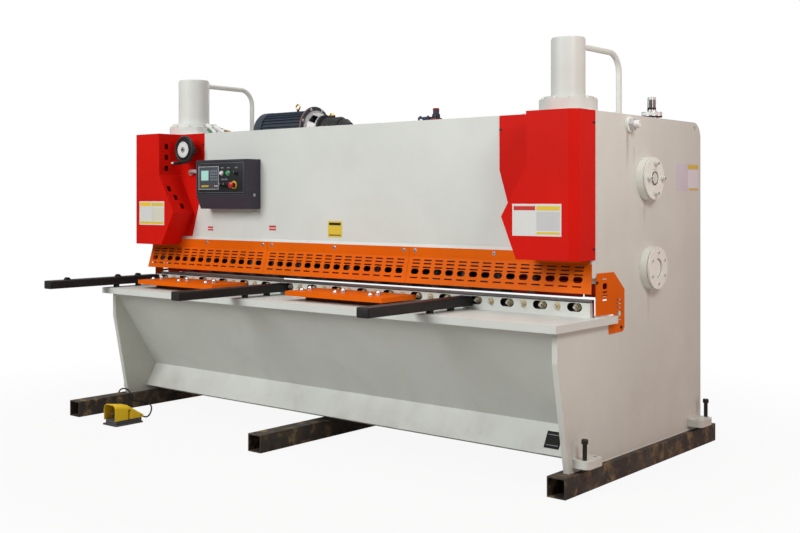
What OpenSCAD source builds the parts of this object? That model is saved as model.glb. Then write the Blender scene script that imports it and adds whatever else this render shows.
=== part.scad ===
// Sheet metal shear: hydraulic guillotine shear on three skid tubes.
// X runs along the blades, -Y is the operator side, Z is up, the floor is Z = 0.
// All sizes are millimetres.

/* [Frame] */
// outer face of each side plate from the middle
plate_x = 1710; // [1400:5:2200]
// side plate thickness
plate_t = 30; // [20:1:50]
// height of the top edge of the side plates
top_z = 1868; // [1600:1:2200]
// rear edge of the side plates
plate_back = 1316; // [1100:1:1700]
// front edge of the side plates at table level
plate_nose = 318; // [220:1:420]
// front edge of the side plates at the skids
plate_toe = 210; // [120:1:300]
// height where the nose starts to slope back
nose_z = 640; // [500:1:740]
// radius of the upper rear corner
corner_r = 90; // [40:1:150]
// lifting hole radius
lift_r = 18; // [12:1:25]
// anchor hole radius in the foot lugs
anchor_r = 12; // [8:0.5:16]

/* [Table] */
// top face of the table
table_z = 830; // [700:1:950]
// table plate thickness
table_t = 38; // [25:1:60]
// half length of the table
table_x = 1740; // [1715:1:1800]
// table front edge in front of the guard line
table_front = 385; // [330:1:480]
// height of the fold in the apron
apron_fold_z = 280; // [220:1:360]
// bottom edge of the apron
apron_foot_z = 136; // [110:1:180]
// apron plate thickness
apron_t = 16; // [8:1:25]

/* [Blades] */
// front face of the blade block
block_y = 40; // [20:1:60]
// top face of the blade block
block_z = 904; // [870:1:930]
// lower blade thickness
blade_t = 25; // [16:1:32]
// top of the lower blade above the block
blade_rise = 13; // [5:1:20]
// half length of the blades
blade_x = 1600; // [1400:1:1650]
// room between the blades
blade_gap = 5; // [5:0.5:12]
// rise of the upper blade from left to right
rake = 3; // [0:1:60]

/* [Front] */
// front face of the panel
panel_y = 40; // [30:1:60]
// panel thickness
panel_t = 30; // [16:1:40]
// top of the beam under the panel
beam_z = 1150; // [1120:1:1200]
// front face of the beam
beam_y = 22; // [10:1:29]
// length of one finger guard
guard_len = 1131; // [1000:1:1200]
// pitch of the guard slots
slot_pitch = 78.5; // [70:0.5:90]
// slot columns in one guard
slot_cols = 14; // [8:1:16]
// height of the guard fold
guard_fold_z = 1100; // [1080:1:1120]
// bottom edge of the guard
guard_foot_z = 955; // [940:1:980]

/* [Covers] */
// how far the covers stand out
cover_depth = 187; // [120:1:240]
// bottom edge of the covers
cover_z = 1120; // [1105:1:1140]
// cover sheet thickness
cover_t = 3; // [2:0.5:5]

/* [Drive] */
// cylinder centre from the middle
cyl_x = 1473; // [1300:1:1550]
// cylinder centre behind the guard line
cyl_y = 200; // [180:1:260]
// height of the left cylinder above the side plates
cyl_h = 384; // [280:1:520]
// left cylinder radius
left_cyl_r = 107; // [80:1:130]
// right cylinder radius
right_cyl_r = 89; // [70:1:120]
// height of the motor axis above the tank
motor_h = 165; // [155:1:195]
// top of the oil tank
tank_z = 1725; // [1600:1:1735]

/* [Skids] */
// side of the square skid tubes
skid_w = 100; // [80:1:140]
// wall of the skid tubes
skid_wall = 6; // [4:1:10]

/* [Hidden] */
$fn = 48;
white = [0.86, 0.87, 0.83];
red = [0.78, 0.10, 0.07];
orange = [0.93, 0.42, 0.12];
steel = [0.35, 0.35, 0.36];
black = [0.08, 0.08, 0.08];
yellow = [0.90, 0.70, 0.10];
rust = [0.25, 0.20, 0.18];
eps = 1;
plate_in = plate_x - plate_t;
plate_mid = plate_x - plate_t / 2;
plate_front = panel_y + panel_t;
table_low = table_z - table_t;
throat_back = 300;
throat_top = 1000;
throat_slope = 70;
table_tab_back = 235;
table_tab_in = plate_in - 26;
lug_z = 125;
lug_t = 40;
lug_out = 86;
lug_len = 160;
lug_front_y = -176;
lug_rear_y = 1136;
lug_hole_out = 46;
lug_hole_in = 25;
lug_round = 32;
lift_in_y = 84;
lift_in_z = 39;
web_y = 60;
web_t = 30;
apron_fold_y = 29;
apron_foot_y = -52;
block_back = block_y + 35;
lower_blade_back = block_back + blade_t;
lower_blade_z = block_z + blade_rise;
upper_blade_y = lower_blade_back + blade_gap;
upper_blade_low = lower_blade_z + 6;
upper_blade_h = 80;
ram_y = upper_blade_y + blade_t;
ram_t = 45;
ram_x = plate_in - 8;
ram_top = 1560;
rod_r = 35;
pocket_pitch = 200;
pocket_r = 24;
pocket_depth = 26;
hold_pitch = 207;
hold_count = 14;
hold_r = 32;
hold_y = 24;
hold_foot = lower_blade_z + 20;
guard_t = 4;
guard_seam = 2;
guard_top = beam_z + 6;
guard_lean = 44;
guard_drop = guard_fold_z - guard_foot_z;
guard_face = sqrt(guard_lean * guard_lean + guard_drop * guard_drop);
guard_angle = atan2(guard_lean, guard_drop);
slot_w = 54;
slot_h = 8;
oval_w = 54;
oval_h = 33;
cover_y = panel_y - cover_depth;
bridge_t = 30;
bridge_in = cyl_x - 223;
bridge_back = cyl_y + 190;
beam_low = throat_top + 30;
beam_back = 95;
pipe_r = 16;
pipe_y = 765;
pipe_bend = 110;
right_cyl_rise = 15;
head_t = 90;
rim_t = 8;
rod_reach = 150;
rod_guide = 20;
pipe_drop = 29;
pipe_boss = 15;
tank_y0 = 330;
tank_y1 = 1200;
tank_z0 = 1500;
motor_y = 500;
motor_z = tank_z + motor_h;
motor_x0 = -1069;
cowl_len = 84;
cowl_r = 130;
stator_x1 = -625;
stator_r = 118;
fin_count = 32;
fin_h = 11;
fin_t = 4;
flange_t = 35;
flange_r = 150;
bell_len = 78;
bell_r0 = 125;
bell_r1 = 84;
bell_wall = 9;
pump_x0 = stator_x1 + flange_t + bell_len;
pump_len = 230;
pump_r = 74;
valve_x = 360;
valve_w = 220;
arm_z = 900;
arm_h = 52;
arm_w = 78;
arm_wall = 5;
arm_front = -843;
arm_round = 8;
arm_post_r = 20;
arm_post_ys = [-300, -115];
left_arm_x = -1735;
middle_arm_x = -478;
right_arm_x = 907;
roller_r = 20;
roller_rise = 16;
roller_ys = [-696, -288, -117];
tray_front = -272;
tray_back = 35;
tray_z = 886;
tray_h = 27;
tray_len = 730;
tray_wall = 3;
left_tray_x = -1498;
right_tray_x = -129;
tray_rail_in = 85;
tray_rail_w = 50;
tray_rail_ys = [-185, -35];
ball_in = 54;
ball_pitch = 262;
ball_r = 13;
ball_cup_r = 18;
ball_rows = [[-185, 17], [-115, 24]];
box_y = -85;
box_x0 = -1125;
box_x1 = -650;
box_z0 = 1362;
box_z1 = 1680;
pedal_x = -1277;
pedal_y0 = -665;
pedal_len = 218;
pedal_base_h = 36;
pedal_w = 114;
pedal_wall = 3;
sole_t = 8;
sole_w = 146;
sole_round = 15;
hood_low = 32;
hood_top = 142;
hood_flat = 86;
hood_tail_z = 46;
hood_round = 26;
pivot_y = pedal_y0 + 150;
pivot_z = 56;
pivot_r = 4;
pivot_play = 0.05;
ear_x = 42;
ear_t = 8;
treadle_x = 36;
treadle_t = 5;
gland_y = pedal_y0 + pedal_len + 11;
gland_z = 22;
gland_r = 9;
cover_out = plate_x + 4;
cover_in_x = 1432;
cover_waist_x = 1284;
cover_waist_z = 1336;
cover_step_z = 1590;
right_foot_x = 1372;
left_foot_x = 1409;
cover_face_x = 1671;
cover_bend = 31;
right_flange_x = 1155;
left_flange_x = 1183;
flange_foot_z = beam_z + 25;
flange_slope = 0.3;
vent_w = 30;
vent_h = 34;
upper_vents = [[-83, 1781], [-83, 1709], [-83, 1635]];
lower_vents = [[-106, 1495], [-77, 1437], [-50, 1378]];
wheel_x = -1281;
wheel_z = 1757;
wheel_y = -52;
wheel_r = 94;
wheel_shaft_r = 14;
shaft_play = 0.05;
shaft_bore_depth = 20;
stop_x = -761;
stop_z = 1516;
stop_stem_r = 9;
stop_bore_depth = 45;
stop_head_r = 20;
tank_wall = 10;
breather_x = 1500;
breather_y = 1120;
breather_bore = 24;
breather_neck = 180;
breather_cap = 27;
breather_top = 88;
fitting_y = 612;
fitting_z = 1536;
fitting_low_y = 655;
fitting_low_z = 1055;
fitting_r = 116;
fitting_t = 50;
fitting_step = 8;
stub_y = 410;
stub_z = 1815;
stub_len = 62;
left_skid_front = -640;
left_skid_back = 1400;
middle_skid_x = -72;
middle_skid_front = -580;
middle_skid_back = 1170;
right_skid_front = -306;
right_skid_back = 1447;
rib_pitch = 330;
rib_t = 20;
frame_y = (arm_front + right_skid_back) / 2;

// profile drawn in Y and Z, extruded along X from x0 to x1
module along_x(x0, x1) {
    translate([x0, 0, 0])
        rotate([90, 0, 90])
            linear_extrude(x1 - x0)
                children();
}

// outline drawn in X and Z, extruded along Y from y0 to y1
module along_y(y0, y1) {
    translate([0, y1, 0])
        rotate([90, 0, 0])
            linear_extrude(y1 - y0)
                children();
}

// round bar along X
module bar_x(x0, x1, y, z, r) {
    translate([x0, y, z])
        rotate([0, 90, 0])
            cylinder(h = x1 - x0, r = r);
}

// round bar along Y
module bar_y(x, y0, y1, z, r) {
    translate([x, y0, z])
        rotate([-90, 0, 0])
            cylinder(h = y1 - y0, r = r);
}

// round bar along Z
module bar_z(x, y, z0, z1, r) {
    translate([x, y, z0])
        cylinder(h = z1 - z0, r = r);
}

// middle of the machine's depth moved to Y = 0
module in_frame() {
    translate([0, -frame_y, 0])
        children();
}

// box from low corner to high corner
module block(a, b) {
    translate(a)
        cube(b - a);
}

// rounded slot outline, w wide and h high, centred
module slot_shape(w, h) {
    square([w - h, h], center = true);
    for (s = [-1, 1])
        translate([s * (w - h) / 2, 0])
            circle(d = h, $fn = 24);
}

// one mirror half: side 1 is right, side -1 is left
module at_side(side) {
    if (side > 0)
        children();
    else
        mirror([1, 0, 0])
            children();
}

// Side plates

module side_outline() {
    difference() {
        union() {
            polygon([[-plate_toe, skid_w], [plate_back, skid_w], [plate_back, top_z - corner_r],
                [plate_back - corner_r, top_z - corner_r], [plate_back - corner_r, top_z],
                [plate_front, top_z], [plate_front, throat_top], [throat_back - throat_slope, throat_top],
                [throat_back, throat_top - throat_slope], [throat_back, table_low],
                [-plate_nose, table_low], [-plate_nose, nose_z]]);
            translate([plate_back - corner_r, top_z - corner_r])
                intersection() {
                    circle(r = corner_r);
                    square(corner_r);
                }
        }
        translate([plate_back - lift_in_y, top_z - lift_in_z])
            circle(r = lift_r);
    }
}

module foot_lug(y0, front) {
    hole_y = front ? lug_len - lug_hole_in : lug_hole_in;
    reach = lug_out + eps;
    translate([plate_x - eps, y0, lug_z])
        difference() {
            linear_extrude(lug_t)
                union() {
                    square([reach - lug_round, lug_len]);
                    translate([0, lug_round])
                        square([reach, lug_len - 2 * lug_round]);
                    for (y = [lug_round, lug_len - lug_round])
                        translate([reach - lug_round, y])
                            circle(r = lug_round);
                }
            translate([lug_hole_out + eps, hole_y, -eps])
                cylinder(h = lug_t + 2 * eps, r = anchor_r);
        }
}

module side_plate() {
    along_x(plate_in, plate_x)
        side_outline();
    foot_lug(lug_front_y, true);
    foot_lug(lug_rear_y, false);
}

module left_side_plate() {
    in_frame()
        color(white)
            at_side(-1)
                side_plate();
}

module right_side_plate() {
    in_frame()
        color(white)
            side_plate();
}

// Bed

module bed_apron() {
    in_frame()
        color(white)
            along_x(-plate_in, plate_in)
                polygon([[-plate_nose + 4, table_low], [apron_fold_y, apron_fold_z],
                    [apron_foot_y, apron_foot_z], [web_y, apron_foot_z], [web_y, apron_foot_z + apron_t],
                    [apron_foot_y + apron_t + 10, apron_foot_z + apron_t],
                    [apron_fold_y + apron_t + 2, apron_fold_z],
                    [-plate_nose + 4 + apron_t * 1.22, table_low]]);
}

module bed_beam() {
    in_frame()
        color(white) {
            block([-plate_in, web_y, skid_w], [plate_in, web_y + web_t, table_low]);
            block([-plate_in, web_y + web_t, skid_w], [plate_in, 350, skid_w + 25]);
            for (i = [-4 : 4])
                along_x(i * rib_pitch - rib_t / 2, i * rib_pitch + rib_t / 2)
                    polygon([[web_y + web_t - eps, skid_w + 24], [340, skid_w + 24],
                        [web_y + web_t - eps, 520]]);
        }
}

module work_table() {
    in_frame()
        color(white) {
            block([-table_x, -table_front, table_low], [table_x, lower_blade_back, table_z]);
            for (s = [-1, 1])
                at_side(s)
                    block([table_tab_in, lower_blade_back, table_low], [table_x, table_tab_back, table_z]);
        }
}

module blade_block() {
    in_frame()
        color(white)
            difference() {
                block([-plate_in - 6, block_y, table_z], [plate_in + 6, block_back, block_z]);
                for (i = [-8 : 8])
                    bar_y(i * pocket_pitch, block_y - eps, block_y + pocket_depth, block_z - 22, pocket_r);
            }
}

module lower_blade() {
    in_frame()
        color(steel)
            block([-plate_in + 2, block_back, table_z], [plate_in - 2, lower_blade_back, lower_blade_z]);
}

// Front

module front_panel() {
    in_frame()
        color(white)
            difference() {
                union() {
                    along_x(-plate_x + 2, plate_x - 2)
                        polygon([[plate_front, top_z], [panel_y, top_z], [panel_y, beam_z + 23],
                            [beam_y, beam_z], [beam_y, beam_low], [plate_front, beam_low]]);
                    block([-plate_in, plate_front - eps, beam_low], [plate_in, beam_back, beam_z]);
                }
                bar_y(wheel_x, panel_y - eps, panel_y + shaft_bore_depth, wheel_z,
                    wheel_shaft_r + shaft_play);
            }
}

module hold_down_cylinders() {
    in_frame()
        color(black)
            for (i = [0 : hold_count - 1])
                translate([(i - (hold_count - 1) / 2) * hold_pitch, 0, 0]) {
                    bar_z(0, hold_y + hold_r, hold_foot + 12, beam_low, hold_r);
                    bar_z(0, hold_y + hold_r, hold_foot, hold_foot + 12, hold_r - 6);
                }
}

module finger_guard(k) {
    x0 = k * (guard_len + guard_seam) - guard_len / 2;
    slot_zs = [17, 36, 57, 118];
    color(orange) {
        block([x0, beam_y - guard_t, guard_fold_z - 3], [x0 + guard_len, beam_y, guard_top]);
        translate([x0, beam_y - guard_t, guard_fold_z])
            rotate([-guard_angle, 0, 0])
                difference() {
                    translate([0, 0, -guard_face])
                        cube([guard_len, guard_t, guard_face]);
                    for (i = [0 : slot_cols - 1])
                        translate([guard_len / 2 + (i - (slot_cols - 1) / 2) * slot_pitch, 0, 0]) {
                            for (z = slot_zs)
                                along_y(-eps, guard_t + eps)
                                    translate([0, -z])
                                        slot_shape(slot_w, slot_h);
                            along_y(-eps, guard_t + eps)
                                translate([0, -82])
                                    slot_shape(oval_w, oval_h);
                        }
                }
    }
}

module left_finger_guard() {
    in_frame()
        finger_guard(-1);
}

module middle_finger_guard() {
    in_frame()
        finger_guard(0);
}

module right_finger_guard() {
    in_frame()
        finger_guard(1);
}

// Ram

module ram() {
    in_frame()
        color(red) {
            along_y(ram_y, ram_y + ram_t)
                polygon([[-ram_x, upper_blade_low + 25], [ram_x, upper_blade_low + rake + 25],
                    [ram_x, ram_top], [-ram_x, ram_top]]);
            for (s = [-1, 1])
                at_side(s) {
                    block([cyl_x - 90, ram_y + ram_t - eps, ram_top - 60],
                        [cyl_x + 90, cyl_y + 60, ram_top]);
                    bar_z(cyl_x, cyl_y, ram_top - eps, top_z + rod_reach, rod_r);
                }
        }
}

module upper_blade() {
    in_frame()
        color(steel)
            along_y(upper_blade_y, ram_y)
                polygon([[-blade_x, upper_blade_low], [blade_x, upper_blade_low + rake],
                    [blade_x, upper_blade_low + rake + upper_blade_h],
                    [-blade_x, upper_blade_low + upper_blade_h]]);
}

// Covers

// unit normal on the left of the step from a to b
function left_normal(a, b) = let (d = (b - a) / norm(b - a)) [-d[1], d[0]];

// point i of path p moved t to the left, mitred at the corners
function mitre(p, i, t) = i == 0 ? p[0] + t * left_normal(p[0], p[1]) :
    i == len(p) - 1 ? p[i] + t * left_normal(p[i - 1], p[i]) :
    let (n = left_normal(p[i - 1], p[i]), m = left_normal(p[i], p[i + 1])) p[i] + t * (n + m) / (1 + n * m);

// outline of a folded sheet along path p, t thick to the left
function sheet_line(p, t) = concat(p, [for (i = [len(p) - 1 : -1 : 0]) mitre(p, i, t)]);

module cover_shape(foot_x, flange_x) {
    inner = [[cover_in_x, top_z], [cover_in_x, cover_step_z], [cover_waist_x, cover_waist_z],
        [foot_x, cover_z]];
    side_back = panel_y + 6;
    side_path = [[cover_face_x - 20, cover_y], [cover_face_x, cover_y], [cover_out, cover_y + cover_bend],
        [cover_out, side_back]];
    along_y(cover_y, cover_y + cover_t)
        polygon(concat(inner, [[cover_face_x, cover_z], [cover_face_x, top_z]]));
    difference() {
        along_y(cover_y, panel_y)
            polygon(sheet_line(inner, cover_t));
        block([0, beam_y - guard_t - 2, 0], [cover_out, panel_y + eps, flange_foot_z]);
        for (v = concat(upper_vents, lower_vents))
            block([cover_waist_x - eps, v[0] - vent_w / 2, v[1] - vent_h / 2],
                [cover_in_x + cover_t + eps, v[0] + vent_w / 2, v[1] + vent_h / 2]);
    }
    translate([0, 0, top_z - cover_t])
        linear_extrude(cover_t)
            polygon([[cover_in_x, cover_y], [cover_face_x, cover_y], [cover_out, cover_y + cover_bend],
                [cover_out, side_back], [cover_out - cover_t, side_back], [cover_out - cover_t, panel_y],
                [cover_in_x, panel_y]]);
    translate([0, 0, cover_z])
        linear_extrude(top_z - cover_z)
            polygon(sheet_line(side_path, cover_t));
    along_y(panel_y - cover_t, panel_y)
        polygon([[cover_out - cover_t / 2, top_z], [flange_x, top_z], [flange_x, cover_step_z - 10],
            [flange_x + (cover_step_z - 10 - flange_foot_z) * flange_slope, flange_foot_z],
            [cover_out - cover_t / 2, flange_foot_z]]);
}

module left_red_cover() {
    in_frame()
        color(red)
            difference() {
                at_side(-1)
                    cover_shape(left_foot_x, left_flange_x);
                bar_y(wheel_x, panel_y - cover_t - eps, panel_y + eps, wheel_z, wheel_shaft_r + 6);
            }
}

module right_red_cover() {
    in_frame()
        color(red)
            cover_shape(right_foot_x, right_flange_x);
}

// Drive on top

function cyl_top(side) = top_z + cyl_h + (side > 0 ? right_cyl_rise : 0);
function pipe_z(side) = cyl_top(side) - pipe_drop;
function foot_t(side) = side > 0 ? 75 : 54;
function collar_t(side) = side > 0 ? 14 : 22;

module hydraulic_cylinder(side, r) {
    foot_z = top_z + foot_t(side);
    collar_z = foot_z + collar_t(side);
    head_z = cyl_top(side) - head_t;
    color(white)
        at_side(side)
            difference() {
                union() {
                    block([bridge_in, plate_front, top_z - bridge_t], [plate_in, bridge_back, top_z]);
                    bar_y(cyl_x, cyl_y + r / 2, cyl_y + r + pipe_boss, pipe_z(side), pipe_r + 8);
                    bar_z(cyl_x, cyl_y, top_z, foot_z, r + 62);
                    bar_z(cyl_x, cyl_y, foot_z, collar_z, r + 42);
                    bar_z(cyl_x, cyl_y, collar_z, cyl_top(side) - rim_t, r);
                    bar_z(cyl_x, cyl_y, cyl_top(side) - rim_t, cyl_top(side), r - 5);
                }
                bar_z(cyl_x, cyl_y, top_z - bridge_t - eps, head_z, rod_r + shaft_play);
                bar_z(cyl_x, cyl_y, top_z + rod_guide, head_z, rod_r + 12);
            }
}

module left_cylinder() {
    in_frame()
        hydraulic_cylinder(-1, left_cyl_r);
}

module right_cylinder() {
    in_frame()
        hydraulic_cylinder(1, right_cyl_r);
}

module oil_pipe(side, r) {
    level = pipe_z(side);
    color(white)
        at_side(side) {
            bar_y(cyl_x, cyl_y + r + pipe_boss, pipe_y - pipe_bend, level, pipe_r);
            bar_z(cyl_x, pipe_y, tank_z, level - pipe_bend, pipe_r);
            translate([cyl_x, pipe_y - pipe_bend, level - pipe_bend])
                rotate([0, -90, 0])
                    rotate_extrude(angle = 90)
                        translate([pipe_bend, 0])
                            circle(r = pipe_r);
        }
}

module left_oil_pipe() {
    in_frame()
        oil_pipe(-1, left_cyl_r);
}

module right_oil_pipe() {
    in_frame()
        oil_pipe(1, right_cyl_r);
}

module oil_tank() {
    in_frame()
        color(white)
            difference() {
                block([-plate_in, tank_y0, tank_z0], [plate_in, tank_y1, tank_z]);
                block([-plate_in + tank_wall, tank_y0 + tank_wall, tank_z0 + tank_wall],
                    [plate_in - tank_wall, tank_y1 - tank_wall, tank_z - tank_wall]);
                bar_z(breather_x, breather_y, tank_z - tank_wall - eps, tank_z + eps, breather_bore);
            }
}

module turned_x(x0, y, z) {
    translate([x0, y, z])
        rotate([0, 90, 0])
            rotate_extrude()
                children();
}

module motor() {
    cowl_x1 = motor_x0 + cowl_len;
    foot_x0 = cowl_x1 + 25;
    foot_x1 = stator_x1 - 75;
    in_frame()
        color([0.20, 0.23, 0.28]) {
            turned_x(motor_x0, motor_y, motor_z)
                polygon([[0, 0], [cowl_r - 26, 0], [cowl_r - 9, 6], [cowl_r, 22], [cowl_r, cowl_len],
                    [0, cowl_len]]);
            bar_x(cowl_x1, stator_x1, motor_y, motor_z, stator_r);
            for (i = [0 : fin_count - 1])
                translate([cowl_x1, motor_y, motor_z])
                    rotate([i * 360 / fin_count, 0, 0])
                        translate([0, -fin_t / 2, stator_r - 6])
                            cube([stator_x1 - cowl_x1, fin_t, fin_h + 6]);
            turned_x(stator_x1, motor_y, motor_z)
                polygon([[0, 0], [stator_r + 12, 0], [stator_r + 16, flange_t - 14], [flange_r, flange_t - 14],
                    [flange_r, flange_t], [0, flange_t]]);
            block([foot_x0, motor_y - 105, tank_z], [foot_x1, motor_y + 105, tank_z + 30]);
            for (s = [-1, 1])
                block([foot_x0 + 20, motor_y + s * 85 - 15, tank_z + 20],
                    [foot_x1 - 20, motor_y + s * 85 + 15, motor_z - 70]);
            bar_z(stator_x1 - 129, motor_y, motor_z + 110, motor_z + 140, 9);
        }
}

module bell_housing() {
    in_frame()
        color([0.75, 0.75, 0.74])
            difference() {
                turned_x(stator_x1 + flange_t, motor_y, motor_z)
                    polygon([[bell_r0 - 22, 0], [bell_r0, 0], [bell_r0, 12], [bell_r0 - 14, 16],
                        [bell_r1, bell_len - 10], [bell_r1 + 8, bell_len - 10], [bell_r1 + 8, bell_len],
                        [24, bell_len], [24, bell_len - bell_wall], [bell_r1 - bell_wall, bell_len - bell_wall],
                        [bell_r0 - 22, 14]]);
                for (a = [45, 225])
                    translate([stator_x1 + flange_t + 18, motor_y, motor_z])
                        rotate([a, 0, 0])
                            translate([0, -32, 0])
                                cube([bell_len - 34, 64, bell_r0 + 10]);
            }
}

module gear_pump() {
    in_frame()
        color(steel) {
            turned_x(pump_x0, motor_y, motor_z)
                polygon([[0, 0], [pump_r + 18, 0], [pump_r + 18, 16], [pump_r - 4, 20], [pump_r - 4, 30],
                    [pump_r, 34], [pump_r, 96], [pump_r - 6, 102], [pump_r - 6, 110], [pump_r, 116],
                    [pump_r, 150], [pump_r - 10, 160], [0, 160]]);
            turned_x(pump_x0 + 160, motor_y, motor_z)
                polygon([[0, 0], [pump_r - 16, 0], [pump_r - 16, 34], [pump_r - 30, 52],
                    [pump_r - 42, pump_len - 160], [0, pump_len - 160]]);
            bar_z(pump_x0 + 66, motor_y, motor_z, motor_z + pump_r + 12, 22);
            bar_y(pump_x0 + 66, motor_y - pump_r - 10, motor_y, motor_z, 20);
            block([pump_x0 + 40, motor_y - 34, tank_z], [pump_x0 + 100, motor_y + 34, motor_z]);
        }
}

module valve_block() {
    base_z = motor_z - 20;
    in_frame()
        color([0.14, 0.16, 0.26]) {
            block([valve_x - valve_w / 2, motor_y - 90, tank_z],
                [valve_x + valve_w / 2, motor_y + 90, base_z]);
            block([valve_x - 68, motor_y - 40, base_z], [valve_x + 14, motor_y + 40, base_z + 56]);
            block([valve_x + 18, motor_y - 32, base_z], [valve_x + 62, motor_y + 32, base_z + 48]);
            bar_x(valve_x + 14, valve_x + 18, motor_y, base_z + 26, 24);
            bar_z(valve_x + 40, motor_y, base_z + 48, base_z + 92, 19);
            bar_z(valve_x + 40, motor_y, base_z + 62, base_z + 72, 24);
        }
}

module breather() {
    cap_z = tank_z + breather_neck + breather_cap;
    in_frame()
        color([0.8, 0.8, 0.8]) {
            bar_z(breather_x, breather_y, tank_z, cap_z - breather_cap, 32);
            bar_z(breather_x, breather_y, cap_z - breather_cap, cap_z, 58);
            bar_z(breather_x, breather_y, cap_z, cap_z + 13, 26);
            bar_z(breather_x, breather_y, cap_z + 13, cap_z + breather_top, 22);
        }
}

// Controls

module control_box() {
    in_frame()
        color([0.20, 0.22, 0.24])
            difference() {
                along_x(box_x0, box_x1)
                    polygon([[panel_y, box_z0], [panel_y, box_z1], [box_y, box_z1], [box_y, box_z0 + 83],
                        [box_y + 40, box_z0]]);
                bar_y(stop_x, box_y - eps, box_y + stop_bore_depth, stop_z, stop_stem_r + shaft_play);
            }
}

module emergency_stop() {
    in_frame()
        color(red) {
            bar_y(stop_x, box_y - 24, box_y + stop_bore_depth - 12, stop_z, stop_stem_r);
            bar_y(stop_x, box_y - 40, box_y - 24, stop_z, stop_head_r);
        }
}

module handwheel() {
    in_frame()
        color(black)
            translate([wheel_x, wheel_y, wheel_z]) {
                rotate([90, 0, 0])
                    rotate_extrude()
                        translate([wheel_r - 12, 0])
                            circle(r = 12);
                bar_y(0, -6, 14, 0, wheel_r - 10);
                bar_y(0, -14, -6, 0, 58);
                bar_y(0, 14, panel_y + shaft_bore_depth - 5 - wheel_y, 0, wheel_shaft_r);
                bar_y(-60, -78, 0, -70, 8);
            }
}

// Side guards

module throat_guard() {
    color(orange)
        difference() {
            along_x(plate_x, plate_x + 4)
                polygon([[70, 1052], [240, 1052], [356, 958], [356, 762], [340, 742], [190, 738],
                    [190, table_low - 4], [table_tab_back + 6, table_low - 4],
                    [table_tab_back + 6, table_z + 6], [52, table_z + 10], [52, 1015]]);
            for (z = [1022, 955, 937, 915])
                along_x(plate_x - eps, plate_x + 4 + eps)
                    translate([145, z])
                        slot_shape(50, 8);
            along_x(plate_x - eps, plate_x + 4 + eps)
                translate([145, 985])
                    slot_shape(50, 32);
            for (z = [908, 888, 868, 805])
                along_x(plate_x - eps, plate_x + 4 + eps)
                    translate([298, z])
                        slot_shape(50, 8);
            along_x(plate_x - eps, plate_x + 4 + eps)
                translate([298, 836])
                    slot_shape(50, 32);
        }
}

module left_throat_guard() {
    in_frame()
        at_side(-1)
            throat_guard();
}

module right_throat_guard() {
    in_frame()
        throat_guard();
}

module round_flange(y, z, recess) {
    face = plate_x + fitting_t;
    difference() {
        union() {
            bar_x(plate_x, face - 14, y, z, fitting_r);
            bar_x(face - 14, face - 10, y, z, fitting_r - fitting_step);
            bar_x(face - 10, face, y, z, fitting_r - 3);
        }
        if (recess)
            bar_x(face - 10, face + eps, y, z, 52);
        else
            difference() {
                bar_x(face - 5, face + eps, y, z, 48);
                bar_x(face - 6, face + 2 * eps, y, z, 40);
            }
    }
}

module side_fittings() {
    color(white) {
        round_flange(fitting_y, fitting_z, false);
        round_flange(fitting_low_y, fitting_low_z, true);
        bar_x(plate_x, plate_x + 14, stub_y, stub_z, 31);
        translate([plate_x + 14, stub_y, stub_z])
            rotate([0, 90, 0])
                cylinder(h = 20, r = 26, $fn = 6);
        bar_x(plate_x + 34, plate_x + stub_len, stub_y, stub_z, 13);
    }
}

module left_side_fittings() {
    in_frame()
        at_side(-1)
            side_fittings();
}

module right_side_fittings() {
    in_frame()
        side_fittings();
}

// Table gear

module tube_outline(w, h, r) {
    translate([r, 0])
        square([w - 2 * r, h]);
    translate([0, r])
        square([w, h - 2 * r]);
    for (x = [r, w - r], y = [r, h - r])
        translate([x, y])
            circle(r = r);
}

module support_arm(x0, rollers) {
    low = arm_z - arm_h;
    color(black) {
        difference() {
            translate([x0, 0, low])
                along_y(arm_front, block_y)
                    tube_outline(arm_w, arm_h, arm_round);
            block([x0 + arm_wall, arm_front + 4, low + arm_wall],
                [x0 + arm_w - arm_wall, block_y + eps, arm_z - arm_wall]);
        }
        for (y = arm_post_ys)
            bar_z(x0 + arm_w / 2, y, table_z, low, arm_post_r);
        if (rollers)
            for (y = roller_ys)
                difference() {
                    bar_x(x0 + arm_w / 2 - 12, x0 + arm_w / 2 + 12, y, arm_z + roller_rise - roller_r, roller_r);
                    block([x0, y - 2 * roller_r, low], [x0 + arm_w, y + 2 * roller_r, arm_z]);
                }
    }
}

module left_support_arm() {
    in_frame()
        support_arm(left_arm_x, true);
}

module middle_support_arm() {
    in_frame()
        support_arm(middle_arm_x, false);
}

module right_support_arm() {
    in_frame()
        support_arm(right_arm_x, false);
}

module table_tray(x0) {
    color(orange) {
        difference() {
            block([x0, tray_front, tray_z - tray_h], [x0 + tray_len, tray_back, tray_z]);
            block([x0 + tray_wall, tray_front + tray_wall, tray_z - tray_h - eps],
                [x0 + tray_len - tray_wall, tray_back - tray_wall, tray_z - tray_wall]);
        }
        for (row = ball_rows, i = [0 : 2])
            translate([x0 + ball_in + i * ball_pitch, row[0], tray_z]) {
                cylinder(h = row[1] - ball_r, r = ball_cup_r);
                translate([0, 0, row[1] - ball_r])
                    difference() {
                        sphere(r = ball_r);
                        translate([-ball_r, -ball_r, -2 * ball_r])
                            cube(2 * ball_r);
                    }
            }
    }
    color(rust)
        for (y = tray_rail_ys)
            block([x0 + tray_rail_in, y, table_z],
                [x0 + tray_len - tray_rail_in, y + tray_rail_w, tray_z - tray_wall]);
}

module left_table_tray() {
    in_frame()
        table_tray(left_tray_x);
}

module right_table_tray() {
    in_frame()
        table_tray(right_tray_x);
}

// Skids

module skid(x, y0, y1) {
    color(rust)
        difference() {
            block([x - skid_w / 2, y0, 0], [x + skid_w / 2, y1, skid_w]);
            block([x - skid_w / 2 + skid_wall, y0 - eps, skid_wall],
                [x + skid_w / 2 - skid_wall, y1 + eps, skid_w - skid_wall]);
        }
}

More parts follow.
